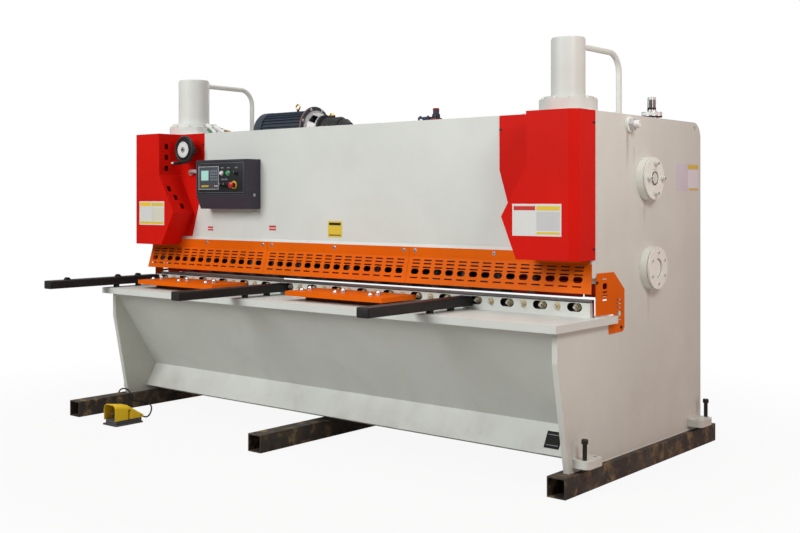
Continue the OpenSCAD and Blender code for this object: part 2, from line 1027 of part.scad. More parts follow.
module left_skid() {
    in_frame()
        skid(-plate_mid, left_skid_front, left_skid_back);
}

module middle_skid() {
    in_frame()
        skid(middle_skid_x, middle_skid_front, middle_skid_back);
}

module right_skid() {
    in_frame()
        skid(plate_mid, right_skid_front, right_skid_back);
}

// Foot pedal

module pedal_base() {
    half = pedal_w / 2 - pedal_wall;
    y1 = pedal_y0 + pedal_len;
    in_frame()
        color(black) {
            translate([pedal_x - sole_w / 2, pedal_y0 - 12, 0])
                linear_extrude(sole_t)
                    tube_outline(sole_w, pedal_len, sole_round);
            block([pedal_x - half, pedal_y0 + 4, sole_t], [pedal_x + half, y1 - 15, pedal_base_h]);
            bar_y(pedal_x, y1 - 16, gland_y, gland_z, gland_r);
            for (x = [-ear_x - ear_t, ear_x])
                difference() {
                    block([pedal_x + x, pivot_y - 11, pedal_base_h - eps],
                        [pedal_x + x + ear_t, pivot_y + 11, pivot_z + 11]);
                    bar_x(pedal_x + x - eps, pedal_x + x + ear_t + eps, pivot_y, pivot_z,
                        pivot_r + pivot_play);
                }
        }
}

module hood_shell(t) {
    low = t > 0 ? hood_low - eps : hood_low;
    y0 = pedal_y0 - 6 - (t > 0 ? eps : 0);
    y1 = pedal_y0 + pedal_len - t;
    half = pedal_w / 2 - t;
    top = hood_top - t;
    r = hood_round - t;
    intersection() {
        along_x(pedal_x - half, pedal_x + half)
            polygon([[y0, low], [y0, top], [pedal_y0 + hood_flat - t / 2, top], [y1, hood_tail_z - t],
                [y1, low]]);
        along_y(y0, y1)
            translate([pedal_x - half, low])
                union() {
                    square([2 * half, top - low - r]);
                    translate([r, 0])
                        square([2 * half - 2 * r, top - low]);
                    for (x = [r, 2 * half - r])
                        translate([x, top - low - r])
                            circle(r = r);
                }
    }
}

module pedal_hood() {
    in_frame()
        color(yellow)
            difference() {
                hood_shell(0);
                hood_shell(pedal_wall);
            }
}

module pedal_treadle() {
    rise = 12;
    in_frame()
        color(steel) {
            along_x(pedal_x - treadle_x, pedal_x + treadle_x)
                polygon([[pedal_y0 + 20, pivot_z + rise], [pedal_y0 + 20, pivot_z + rise + treadle_t],
                    [pivot_y, pivot_z + 3], [pivot_y, pivot_z - 3]]);
            bar_x(pedal_x - ear_x - ear_t, pedal_x + ear_x + ear_t, pivot_y, pivot_z, pivot_r);
        }
}

cable_r = 5;
cable_pts = [[pedal_x, gland_y, gland_z], [pedal_x, gland_y + 10, gland_z],
    [pedal_x, gland_y + 20, gland_z], [-1290, -372, 10], [-1318, -330, 7], [-1400, -245, 6.5],
    [-1520, -140, 7], [-1600, -85, 9], [-1632, -76, 20], [-1637, -140, 40], [-1638, -200, 52],
    [-1638, -222, 74], [-1639, -226, 102], [-1660, -230, 124], [-1695, -231, 130], [-1730, -234, 122],
    [-1752, -238, 98], [-1757, -235, 55], [-1766, -205, 17], [-1790, -100, 10], [-1830, 100, 6.5],
    [-1840, 320, 7.5], [-1822, 560, 13], [-1800, 655, 70], [-1772, 678, 170], [-plate_x - 24, 680, 210],
    [-plate_x - 12, 680, 210], [-plate_x, 680, 210]];
cable_sub = 3;

function mix(a, b, t) = a + (b - a) * t;
function curve(p0, p1, p2, p3, t) = 0.5 * (2 * p1 + (p2 - p0) * t + (2 * p0 - 5 * p1 + 4 * p2 - p3) * t * t
    + (3 * p1 - p0 - 3 * p2 + p3) * t * t * t);
function pick(i) = cable_pts[max(0, min(len(cable_pts) - 1, i))];
cable_line = [for (i = [0 : len(cable_pts) - 2], k = [0 : cable_sub - 1])
    curve(pick(i - 1), pick(i), pick(i + 1), pick(i + 2), k / cable_sub), pick(len(cable_pts) - 1)];
cable_n = len(cable_line);
cable_sides = 8;
function unit(v) = v / norm(v);
function run(i) = unit(cable_line[min(cable_n - 1, i + 1)] - cable_line[max(0, i - 1)]);
function frame_step(i) = i == 0 ? unit(cross(run(0), [1, 0, 0])) :
    let (n = frame_step(i - 1), t = run(i)) unit(n - t * (n * t));

module pedal_cable() {
    rings = [for (i = [0 : cable_n - 1]) let (t = run(i), n = frame_step(i), b = cross(t, n))
        for (k = [0 : cable_sides - 1]) let (a = k * 360 / cable_sides)
            cable_line[i] + cable_r * (cos(a) * n + sin(a) * b)];
    sides = [for (i = [0 : cable_n - 2], k = [0 : cable_sides - 1])
        let (a = i * cable_sides + k, b = i * cable_sides + (k + 1) % cable_sides)
            [a, b, b + cable_sides, a + cable_sides]];
    first = [for (k = [0 : cable_sides - 1]) cable_sides - 1 - k];
    last = [for (k = [0 : cable_sides - 1]) (cable_n - 1) * cable_sides + k];
    in_frame()
        color(black)
            polyhedron(rings, concat([first], sides, [last]));
}

left_side_plate();
right_side_plate();
bed_apron();
bed_beam();
work_table();
blade_block();
lower_blade();
front_panel();
hold_down_cylinders();
left_finger_guard();
middle_finger_guard();
right_finger_guard();
ram();
upper_blade();
left_red_cover();
right_red_cover();
left_cylinder();
right_cylinder();
left_oil_pipe();
right_oil_pipe();
oil_tank();
motor();
bell_housing();
gear_pump();
valve_block();
breather();
control_box();
emergency_stop();
handwheel();
left_throat_guard();
right_throat_guard();
left_side_fittings();
right_side_fittings();
left_support_arm();
middle_support_arm();
right_support_arm();
left_table_tray();
right_table_tray();
left_skid();
middle_skid();
right_skid();
pedal_base();
pedal_hood();
pedal_treadle();
pedal_cable();
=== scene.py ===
"""Looks of a hydraulic sheet metal shear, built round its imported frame.

Sizes are machine millimetres: X = 0 is the middle of the blades, Y = 0 the line of the guard
windows with the operator at -Y, and Z = 0 the floor. place() turns them into the frame's metres.
"""
import logging
import math
from dataclasses import dataclass
from enum import Enum

import bmesh
import bpy
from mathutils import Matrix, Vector


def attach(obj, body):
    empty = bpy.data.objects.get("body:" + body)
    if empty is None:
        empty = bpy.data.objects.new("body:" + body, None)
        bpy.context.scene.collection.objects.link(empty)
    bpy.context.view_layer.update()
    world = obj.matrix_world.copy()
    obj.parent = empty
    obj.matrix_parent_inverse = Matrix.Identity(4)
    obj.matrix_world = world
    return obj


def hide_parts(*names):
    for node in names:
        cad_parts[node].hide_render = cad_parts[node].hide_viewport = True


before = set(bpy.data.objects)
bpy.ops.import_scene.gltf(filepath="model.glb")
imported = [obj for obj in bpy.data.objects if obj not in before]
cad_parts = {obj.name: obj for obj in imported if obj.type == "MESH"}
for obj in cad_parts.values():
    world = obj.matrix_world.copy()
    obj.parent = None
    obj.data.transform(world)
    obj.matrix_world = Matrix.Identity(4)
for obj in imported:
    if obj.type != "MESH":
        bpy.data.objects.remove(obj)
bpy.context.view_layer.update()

log = logging.getLogger("shear")

MM = 0.001
FRAME_Y = 302.0
SMOOTH_ANGLE = math.radians(32)

Triple = tuple[float, float, float]
Colour = tuple[float, float, float]


class Body(Enum):
    """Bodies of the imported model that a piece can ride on."""

    FRAME = "frame"
    RAM = "ram_body"
    WHEEL = "wheel_body"
    STOP = "stop_body"
    TREADLE = "treadle_body"


class Axis(Enum):
    """Directions that a turned or extruded shape can run along."""

    X = "x"
    Y = "y"
    Z = "z"
    BACK = "-x"
    FRONT = "-y"


def place(x: float, y: float, z: float) -> Vector:
    """Turns machine millimetres into a point of the frame in metres.

    Args:
        x: along the blades.
        y: away from the operator.
        z: up.

    Returns:
        The point in metres.
    """
    return Vector((x, y - FRAME_Y, z)) * MM


def along(axis: Axis, centre: Triple, across: float, up: float, run: float) -> Vector:
    """Gives the point at (across, up) in the section and run along an axis.

    Args:
        axis: direction of the run.
        centre: start of the axis in machine millimetres.
        across: first distance in the section.
        up: second distance in the section.
        run: distance along the axis.

    Returns:
        The point in frame metres.
    """
    x, y, z = centre
    if axis is Axis.X:
        return place(x + run, y + across, z + up)
    if axis is Axis.BACK:
        return place(x - run, y - across, z + up)
    if axis is Axis.Y:
        return place(x - across, y + run, z + up)
    if axis is Axis.FRONT:
        return place(x + across, y - run, z + up)
    return place(x + across, y + up, z + run)


class NodeTree:
    """Small helper that adds and links nodes of one tree."""

    def __init__(self, tree: bpy.types.NodeTree) -> None:
        """Keeps the tree.

        Args:
            tree: the node tree that is filled.
        """
        self.tree = tree

    def add(self, kind: str, **settings: object) -> bpy.types.Node:
        """Adds a node and sets its properties.

        Args:
            kind: the node's type name.
            settings: properties of the node.

        Returns:
            The node.
        """
        node = self.tree.nodes.new(kind)
        for key, value in settings.items():
            setattr(node, key, value)
        return node

    def link(self, source: object, target: object) -> None:
        """Links an output socket, or sets a plain value, on an input socket."""
        if isinstance(source, bpy.types.NodeSocket):
            self.tree.links.new(source, target)
        else:
            target.default_value = source

    def math(self, operation: str, a: object, b: object = 0.0, clamp: bool = False) -> object:
        """Adds a Math node.

        Args:
            operation: what it does.
            a: first value or socket.
            b: second value or socket.
            clamp: whether the result stays from 0 to 1.

        Returns:
            The output socket.
        """
        node = self.add("ShaderNodeMath", operation=operation, use_clamp=clamp)
        self.link(a, node.inputs[0])
        self.link(b, node.inputs[1])
        return node.outputs[0]

    def mix(self, factor: object, a: object, b: object) -> object:
        """Adds a colour mix and returns its output socket."""
        node = self.add("ShaderNodeMix", data_type="RGBA")
        self.link(factor, node.inputs["Factor"])
        self.link(a, node.inputs[6])
        self.link(b, node.inputs[7])
        return node.outputs[2]

    def ramp(self, value: object, low: float, high: float) -> object:
        """Maps low to 0 and high to 1, smoothly and clamped, and returns the socket."""
        node = self.add("ShaderNodeMapRange", interpolation_type="SMOOTHSTEP")
        self.link(value, node.inputs[0])
        node.inputs[1].default_value = low
        node.inputs[2].default_value = high
        return node.outputs[0]

    def noise(self, vector: object, scale: object, detail: float = 4.0, rough: float = 0.55) -> object:
        """Adds a noise texture and returns its value socket."""
        node = self.add("ShaderNodeTexNoise")
        self.link(vector, node.inputs["Vector"])
        self.link(scale, node.inputs["Scale"])
        node.inputs["Detail"].default_value = detail
        node.inputs["Roughness"].default_value = rough
        return node.outputs["Fac"]


def new_group(name: str, inputs: dict[str, tuple[str, object]], outputs: dict[str, str]) -> tuple:
    """Makes an empty shader group with named sockets.

    Args:
        name: name of the group.
        inputs: socket name to socket type and default.
        outputs: socket name to socket type.

    Returns:
        The group, its helper, and its input and output nodes.
    """
    group = bpy.data.node_groups.new(name, "ShaderNodeTree")
    for label, (kind, default) in inputs.items():
        socket = group.interface.new_socket(label, in_out="INPUT", socket_type=kind)
        if default is not None:
            socket.default_value = default
    for label, kind in outputs.items():
        group.interface.new_socket(label, in_out="OUTPUT", socket_type=kind)
    nodes = NodeTree(group)
    return group, nodes, nodes.add("NodeGroupInput"), nodes.add("NodeGroupOutput")


class Effects:
    """Shader groups that the finishes share."""

    def __init__(self) -> None:
        """Builds every group once."""
        self.grain = self._grain()
        self.soil = self._soil()
        self.wear = self._wear()
        self.drift = self._drift()

    @staticmethod
    def _grain() -> bpy.types.NodeTree:
        """Fine orange peel or cast grain, as a height and a mask."""
        group, n, gin, gout = new_group(
            "surface_grain",
            {"Vector": ("NodeSocketVector", None), "Scale": ("NodeSocketFloat", 300.0)},
            {"Height": "NodeSocketFloat", "Mask": "NodeSocketFloat"})
        fine = n.noise(gin.outputs["Vector"], gin.outputs["Scale"], 3.0)
        wide = n.noise(gin.outputs["Vector"], n.math("MULTIPLY", gin.outputs["Scale"], 0.12), 2.0)
        n.link(n.math("ADD", n.math("MULTIPLY", fine, 0.7), n.math("MULTIPLY", wide, 0.3)),
               gout.inputs["Height"])
        n.link(wide, gout.inputs["Mask"])
        return group

    @staticmethod
    def _soil() -> bpy.types.NodeTree:
        """Dust and handling dirt, stronger near the floor and in broad clouds."""
        group, n, gin, gout = new_group(
            "soiling",
            {"Vector": ("NodeSocketVector", None), "Amount": ("NodeSocketFloat", 0.2),
             "Scale": ("NodeSocketFloat", 3.0), "Floor Dirt": ("NodeSocketFloat", 0.3)},
            {"Mask": "NodeSocketFloat"})
        cloud = n.ramp(n.noise(gin.outputs["Vector"], gin.outputs["Scale"], 6.0, 0.62), 0.42, 0.78)
        streak_map = n.add("ShaderNodeMapping")
        n.link(gin.outputs["Vector"], streak_map.inputs["Vector"])
        streak_map.inputs["Scale"].default_value = (14.0, 14.0, 1.1)
        streak = n.ramp(n.noise(streak_map.outputs[0], 1.0, 4.0), 0.5, 0.8)
        split = n.add("ShaderNodeSeparateXYZ")
        n.link(gin.outputs["Vector"], split.inputs[0])
        low = n.math("SUBTRACT", 1.0, n.ramp(split.outputs[2], 0.05, 0.55))
        mask = n.math("MULTIPLY", n.math("ADD", cloud, n.math("MULTIPLY", streak, 0.5)),
                      gin.outputs["Amount"])
        foot = n.math("MULTIPLY", n.math("MULTIPLY", low, gin.outputs["Floor Dirt"]),
                      n.math("ADD", cloud, 0.4))
        n.link(n.math("ADD", mask, foot, True), gout.inputs["Mask"])
        return group

    @staticmethod
    def _wear() -> bpy.types.NodeTree:
        """Chipped and rubbed edges, found from the rounded normal."""
        group, n, gin, gout = new_group(
            "edge_wear",
            {"Vector": ("NodeSocketVector", None), "Amount": ("NodeSocketFloat", 0.3),
             "Scale": ("NodeSocketFloat", 18.0)},
            {"Mask": "NodeSocketFloat"})
        bevel = n.add("ShaderNodeBevel", samples=4)
        bevel.inputs["Radius"].default_value = 0.004
        geometry = n.add("ShaderNodeNewGeometry")
        dot = n.add("ShaderNodeVectorMath", operation="DOT_PRODUCT")
        n.link(bevel.outputs[0], dot.inputs[0])
        n.link(geometry.outputs["Normal"], dot.inputs[1])
        edge = n.math("SUBTRACT", 1.0, n.ramp(dot.outputs["Value"], 0.80, 0.985))
        broken = n.ramp(n.noise(gin.outputs["Vector"], gin.outputs["Scale"], 5.0, 0.7), 0.45, 0.62)
        n.link(n.math("MULTIPLY", n.math("MULTIPLY", edge, broken), gin.outputs["Amount"], True),
               gout.inputs["Mask"])
        return group

    @staticmethod
    def _drift() -> bpy.types.NodeTree:
        """Slow change of a coat's colour between two tones."""
        group, n, gin, gout = new_group(
            "colour_drift",
            {"Vector": ("NodeSocketVector", None), "Tone A": ("NodeSocketColor", None),
             "Tone B": ("NodeSocketColor", None), "Scale": ("NodeSocketFloat", 2.0)},
            {"Color": "NodeSocketColor"})
        cloud = n.ramp(n.noise(gin.outputs["Vector"], gin.outputs["Scale"], 3.0), 0.3, 0.7)
        n.link(n.mix(cloud, gin.outputs["Tone A"], gin.outputs["Tone B"]), gout.inputs["Color"])
        return group


@dataclass(frozen=True)
class Finish:
    """A coat or bare metal as it shows on this machine."""

    name: str
    colour: Colour
    tone: float = 0.94
    rough: float = 0.4
    metal: float = 0.0
    coat: float = 0.0
    grain: float = 260.0
    bump: float = 0.08
    soil: float = 0.12
    foot: float = 0.2
    dirt: Colour = (0.16, 0.12, 0.09)
    wear: float = 0.0
    bare: Colour = (0.30, 0.28, 0.27)
    patches: float = 0.0
    patch_colour: Colour = (0.20, 0.075, 0.03)
    glow: float = 0.0
    spec: float = 0.3
    # Near-black tone round X = 0, out to the given half-width: painted shade where the ram and blade lie
    # under the guard.
    shaded_middle: Colour | None = None
    shaded_middle_reach: float = 1.2
    # Near-black tone under a given height, held off the end faces at the given X: painted shade behind the
    # finger guards.
    shade_below: Colour | None = None
    shade_below_z: float = 1.1
    shade_below_x: float = 1.676
    # Darker runs that fade downwards on the side plates, given as (Y, top, length, width, amount).
    dark_runs: tuple = ()

    @staticmethod
    def _dark_run(n: NodeTree, vector: object, y: float, top: float, length: float, width: float,
               amount: float) -> object:
        """Gives the mask of one dark run that fades downwards on a side plate."""
        split = n.add("ShaderNodeSeparateXYZ")
        n.link(vector, split.inputs[0])
        wobble = n.math("MULTIPLY", n.math("SUBTRACT", n.noise(vector, 9.0, 3.0), 0.5), width)
        off = n.math("ABSOLUTE", n.math("ADD", n.math("SUBTRACT", split.outputs[1], y), wobble))
        across = n.math("SUBTRACT", 1.0, n.ramp(off, 0.0, width))
        fade = n.ramp(split.outputs[2], top - length, top)
        under = n.math("SUBTRACT", 1.0, n.ramp(split.outputs[2], top - 0.002, top + 0.002))
        return n.math("MULTIPLY", n.math("MULTIPLY", across, n.math("MULTIPLY", fade, under)), amount)

    def make(self, fx: Effects) -> bpy.types.Material:
        """Builds the material.

        Args:
            fx: the shared shader groups.

        Returns:
            The material.
        """
        material = bpy.data.materials.new(self.name)
        material.use_nodes = True
        n = NodeTree(material.node_tree)
        shader = material.node_tree.nodes["Principled BSDF"]
        vector = n.add("ShaderNodeTexCoord").outputs["Object"]
        drift = n.add("ShaderNodeGroup", node_tree=fx.drift)
        n.link(vector, drift.inputs["Vector"])
        drift.inputs["Tone A"].default_value = (*self.colour, 1.0)
        drift.inputs["Tone B"].default_value = (*(c * self.tone for c in self.colour), 1.0)
        colour = drift.outputs[0]
        # Round X = 0 the colour turns to the near-black middle tone: painted shade under the guard. The ends
        # keep their own colour.
        if self.shaded_middle is not None:
            split = n.add("ShaderNodeSeparateXYZ")
            n.link(vector, split.inputs[0])
            side = n.ramp(n.math("ABSOLUTE", split.outputs[0]), self.shaded_middle_reach - 0.02,
                          self.shaded_middle_reach + 0.02)
            colour = n.mix(side, (*self.shaded_middle, 1.0), colour)
        # Under the set height and away from the end faces, the colour turns near-black: painted shade behind
        # the finger guards.
        if self.shade_below is not None:
            split = n.add("ShaderNodeSeparateXYZ")
            n.link(vector, split.inputs[0])
            upper = n.ramp(split.outputs[2], self.shade_below_z - 0.004, self.shade_below_z + 0.004)
            ends = n.ramp(n.math("ABSOLUTE", split.outputs[0]), self.shade_below_x - 0.002, self.shade_below_x)
            colour = n.mix(n.math("MAXIMUM", upper, ends), (*self.shade_below, 1.0), colour)
        # Darker runs fading downwards under the stub and the flanges.
        for spot in self.dark_runs:
            colour = n.mix(self._dark_run(n, vector, *spot), colour, (*self.dirt, 1.0))
        grain = n.add("ShaderNodeGroup", node_tree=fx.grain)
        n.link(vector, grain.inputs["Vector"])
        grain.inputs["Scale"].default_value = self.grain
        rough = n.math("ADD", self.rough - 0.06, n.math("MULTIPLY", grain.outputs["Mask"], 0.12))
        if self.patches > 0.0:
            patch = n.ramp(n.noise(vector, 11.0, 8.0, 0.68), 0.62 - 0.22 * self.patches, 0.66)
            colour = n.mix(n.math("MULTIPLY", patch, 0.9), colour, (*self.patch_colour, 1.0))
            rough = n.math("ADD", rough, n.math("MULTIPLY", patch, 0.25), True)
        metal: object = self.metal
        if self.wear > 0.0:
            worn = n.add("ShaderNodeGroup", node_tree=fx.wear)
            n.link(vector, worn.inputs["Vector"])
            worn.inputs["Amount"].default_value = self.wear
            colour = n.mix(worn.outputs[0], colour, (*self.bare, 1.0))
            if self.metal < 0.5:
                metal = n.math("MULTIPLY", worn.outputs[0], 0.6)
        if self.soil > 0.0:
            soil = n.add("ShaderNodeGroup", node_tree=fx.soil)
            n.link(vector, soil.inputs["Vector"])
            soil.inputs["Amount"].default_value = self.soil
            soil.inputs["Floor Dirt"].default_value = self.foot
            colour = n.mix(soil.outputs[0], colour, (*self.dirt, 1.0))
            rough = n.math("ADD", rough, n.math("MULTIPLY", soil.outputs[0], 0.25), True)
        n.link(colour, shader.inputs["Base Color"])
        n.link(rough, shader.inputs["Roughness"])
        n.link(metal, shader.inputs["Metallic"])
        shader.inputs["Specular IOR Level"].default_value = self.spec
        shader.inputs["Coat Weight"].default_value = self.coat
        shader.inputs["Coat Roughness"].default_value = 0.15
        bump = n.add("ShaderNodeBump")
        bump.inputs["Strength"].default_value = self.bump
        bump.inputs["Distance"].default_value = 0.0006
        n.link(grain.outputs["Height"], bump.inputs["Height"])
        n.link(bump.outputs[0], shader.inputs["Normal"])
        if self.glow > 0.0:
            n.link(colour, shader.inputs["Emission Color"])
            shader.inputs["Emission Strength"].default_value = self.glow
        return material


class Finishes:
    """All finishes of the machine, made once each."""

    LIST = (
        Finish("cream_paint", (0.735, 0.760, 0.720), rough=0.40, soil=0.06, foot=0.30,
               dirt=(0.30, 0.25, 0.21)),
        # The front panel's lower band behind the finger guards is painted shade, not a second colour of its
        # paint.
        Finish("panel_cream_shaded_below", (0.725, 0.750, 0.715), rough=0.40, soil=0.05, foot=0.0,
               dirt=(0.30, 0.24, 0.19), shade_below=(0.030, 0.012, 0.012), shade_below_z=1.098),
        # The side plates darken in runs below the stub and the flanges.
        Finish("side_cream", (0.72, 0.73, 0.68), rough=0.40, soil=0.07, foot=0.16,
               dirt=(0.30, 0.22, 0.17),
               dark_runs=((0.095, 1.795, 0.26, 0.026, 0.55), (0.29, 1.43, 0.20, 0.030, 0.30),
                       (0.34, 0.945, 0.22, 0.030, 0.28), (0.17, 1.70, 0.16, 0.014, 0.3))),
        Finish("fitting_white", (0.90, 0.91, 0.85), rough=0.36, soil=0.05, foot=0.0,
               dirt=(0.30, 0.24, 0.19)),
        # A darker copy of the cream paint for the right cylinder alone: painted shade, as both cylinders wear
        # one paint.
        Finish("cream_paint_shaded_copy", (0.63, 0.65, 0.62), rough=0.40, soil=0.05, foot=0.0,
               dirt=(0.30, 0.24, 0.19)),
        # Near-black finish: painted shade inside the blade block's pockets, and the real black of the apron
        # data plate.
        Finish("black_and_pocket_shade", (0.018, 0.017, 0.016), rough=0.6, soil=0.0, spec=0.1),
        Finish("silver", (0.60, 0.60, 0.62), rough=0.32, metal=0.35, soil=0.08, spec=0.5),
        Finish("smoked", (0.10, 0.09, 0.09), rough=0.12, soil=0.0, spec=0.6),
        Finish("corner_red", (0.68, 0.009, 0.004), tone=0.90, rough=0.45, soil=0.015, spec=0.08),
        # The near-black middles of the ram and the upper blade are painted shade under the guard. Their ends
        # keep the red coat.
        Finish("ram_red_shaded_middle", (0.42, 0.012, 0.010), tone=0.85, rough=0.5, soil=0.1, spec=0.16,
               shaded_middle=(0.030, 0.022, 0.022)),
        Finish("blade_shaded_middle", (0.34, 0.012, 0.012), tone=0.85, rough=0.45, soil=0.1, spec=0.2,
               shaded_middle=(0.035, 0.040, 0.050)),
        Finish("guard_orange", (0.82, 0.135, 0.002), tone=0.88, rough=0.47, soil=0.03, spec=0.06),
        Finish("hood_yellow", (0.97, 0.62, 0.016), tone=0.92, rough=0.45, soil=0.08, foot=0.10,
               wear=0.30, spec=0.2),
        Finish("ground_steel", (0.36, 0.34, 0.33), rough=0.32, metal=1.0, soil=0.35, bump=0.05,
               dirt=(0.10, 0.05, 0.03)),
        Finish("dark_steel", (0.10, 0.10, 0.10), rough=0.45, metal=0.7, soil=0.2),
        Finish("arm_black", (0.009, 0.009, 0.010), rough=0.42, soil=0.03, wear=0.4,
               dirt=(0.12, 0.09, 0.08), spec=0.3),
        Finish("skid_mill_scale", (0.020, 0.017, 0.016), tone=1.5, rough=0.55, soil=0.25, foot=0.3,
               patches=0.62, patch_colour=(0.29, 0.195, 0.095), bump=0.3, wear=0.4,
               bare=(0.22, 0.15, 0.10)),
        Finish("motor_blue", (0.038, 0.052, 0.076), rough=0.42, soil=0.14,
               dirt=(0.22, 0.18, 0.15)),
        Finish("motor_end", (0.22, 0.12, 0.10), rough=0.5, soil=0.15),
        Finish("conduit_grey", (0.52, 0.52, 0.55), rough=0.32, metal=0.3, soil=0.1, bump=0.03),
        Finish("conduit_green", (0.10, 0.24, 0.11), rough=0.4, soil=0.1),
        Finish("ball_chrome", (0.80, 0.80, 0.80), rough=0.12, metal=0.9, soil=0.0, bump=0.0),
        Finish("pump_iron", (0.032, 0.032, 0.035), rough=0.5, metal=0.3, grain=160.0, bump=0.25),
        Finish("bell_grey", (0.56, 0.56, 0.55), rough=0.45, metal=0.5, grain=120.0, bump=0.2),
        Finish("valve_navy", (0.03, 0.035, 0.075), rough=0.4, soil=0.15),
        Finish("valve_red", (0.16, 0.015, 0.02), rough=0.4, soil=0.15),
        Finish("zinc", (0.62, 0.62, 0.63), rough=0.28, metal=1.0, bump=0.03, soil=0.08),
        Finish("gold_zinc", (0.76, 0.66, 0.42), tone=0.9, rough=0.3, metal=0.6, bump=0.03, soil=0.15),
        Finish("brass", (0.62, 0.42, 0.14), rough=0.28, metal=1.0, bump=0.03, soil=0.08),
        Finish("black_oxide", (0.025, 0.025, 0.026), rough=0.4, metal=0.6, soil=0.1),
        Finish("panel_grey", (0.052, 0.047, 0.064), rough=0.45, soil=0.05, grain=420.0, bump=0.2,
               spec=0.2),
        Finish("panel_black", (0.018, 0.019, 0.021), rough=0.32, soil=0.05, bump=0.03),
        Finish("plastic_black", (0.016, 0.016, 0.017), rough=0.42, soil=0.10),
        Finish("rubber_black", (0.020, 0.020, 0.021), rough=0.65, soil=0.2, grain=200.0),
        Finish("pedal_grey", (0.10, 0.10, 0.105), rough=0.5, metal=0.3, soil=0.25, grain=120.0,
               bump=0.3),
        Finish("tray_support", (0.060, 0.028, 0.018), rough=0.6, soil=0.2, patches=0.4),
        Finish("dial_white", (0.78, 0.78, 0.76), rough=0.3, coat=0.4, soil=0.05),
        Finish("label_white", (0.74, 0.74, 0.72), rough=0.4, soil=0.06, bump=0.01),
        Finish("label_grey", (0.60, 0.60, 0.60), rough=0.4, soil=0.06, bump=0.01),
        Finish("label_lilac", (0.70, 0.66, 0.74), rough=0.4, soil=0.06, bump=0.01),
        Finish("label_pale", (0.80, 0.78, 0.84), rough=0.4, soil=0.03, bump=0.01),
        Finish("label_cream", (0.72, 0.70, 0.58), rough=0.4, soil=0.06, bump=0.01),
        Finish("label_yellow", (0.78, 0.56, 0.05), rough=0.4, soil=0.06, bump=0.01),
        Finish("label_red", (0.60, 0.03, 0.02), rough=0.4, soil=0.06, bump=0.01),
        Finish("plate_black", (0.022, 0.022, 0.024), rough=0.35, metal=0.3, soil=0.1, bump=0.02),
        Finish("screen_green", (0.35, 0.62, 0.55), rough=0.15, soil=0.0, bump=0.0, glow=0.25),
        Finish("screen_bezel", (0.20, 0.22, 0.25), rough=0.35, soil=0.0),
        Finish("bezel_light", (0.48, 0.50, 0.53), rough=0.35, soil=0.0, bump=0.01),
        Finish("panel_slate", (0.065, 0.075, 0.09), rough=0.35, soil=0.0, bump=0.01),
        Finish("key_yellow", (0.75, 0.48, 0.04), rough=0.4, soil=0.0),
        Finish("button_white", (0.75, 0.75, 0.73), rough=0.35, soil=0.0),
        Finish("button_green", (0.03, 0.42, 0.14), rough=0.3, soil=0.0, coat=0.3),
        Finish("button_red", (0.55, 0.02, 0.015), rough=0.3, soil=0.0, coat=0.4),
        Finish("sight_tube", (0.55, 0.57, 0.60), rough=0.12, metal=0.6, soil=0.05, coat=0.5),
    )

    def __init__(self) -> None:
        """Makes every material."""
        fx = Effects()
        self._made = {finish.name: finish.make(fx) for finish in self.LIST}

    def __getitem__(self, name: str) -> bpy.types.Material:
        """Gives the material of a finish by name."""
        return self._made[name]


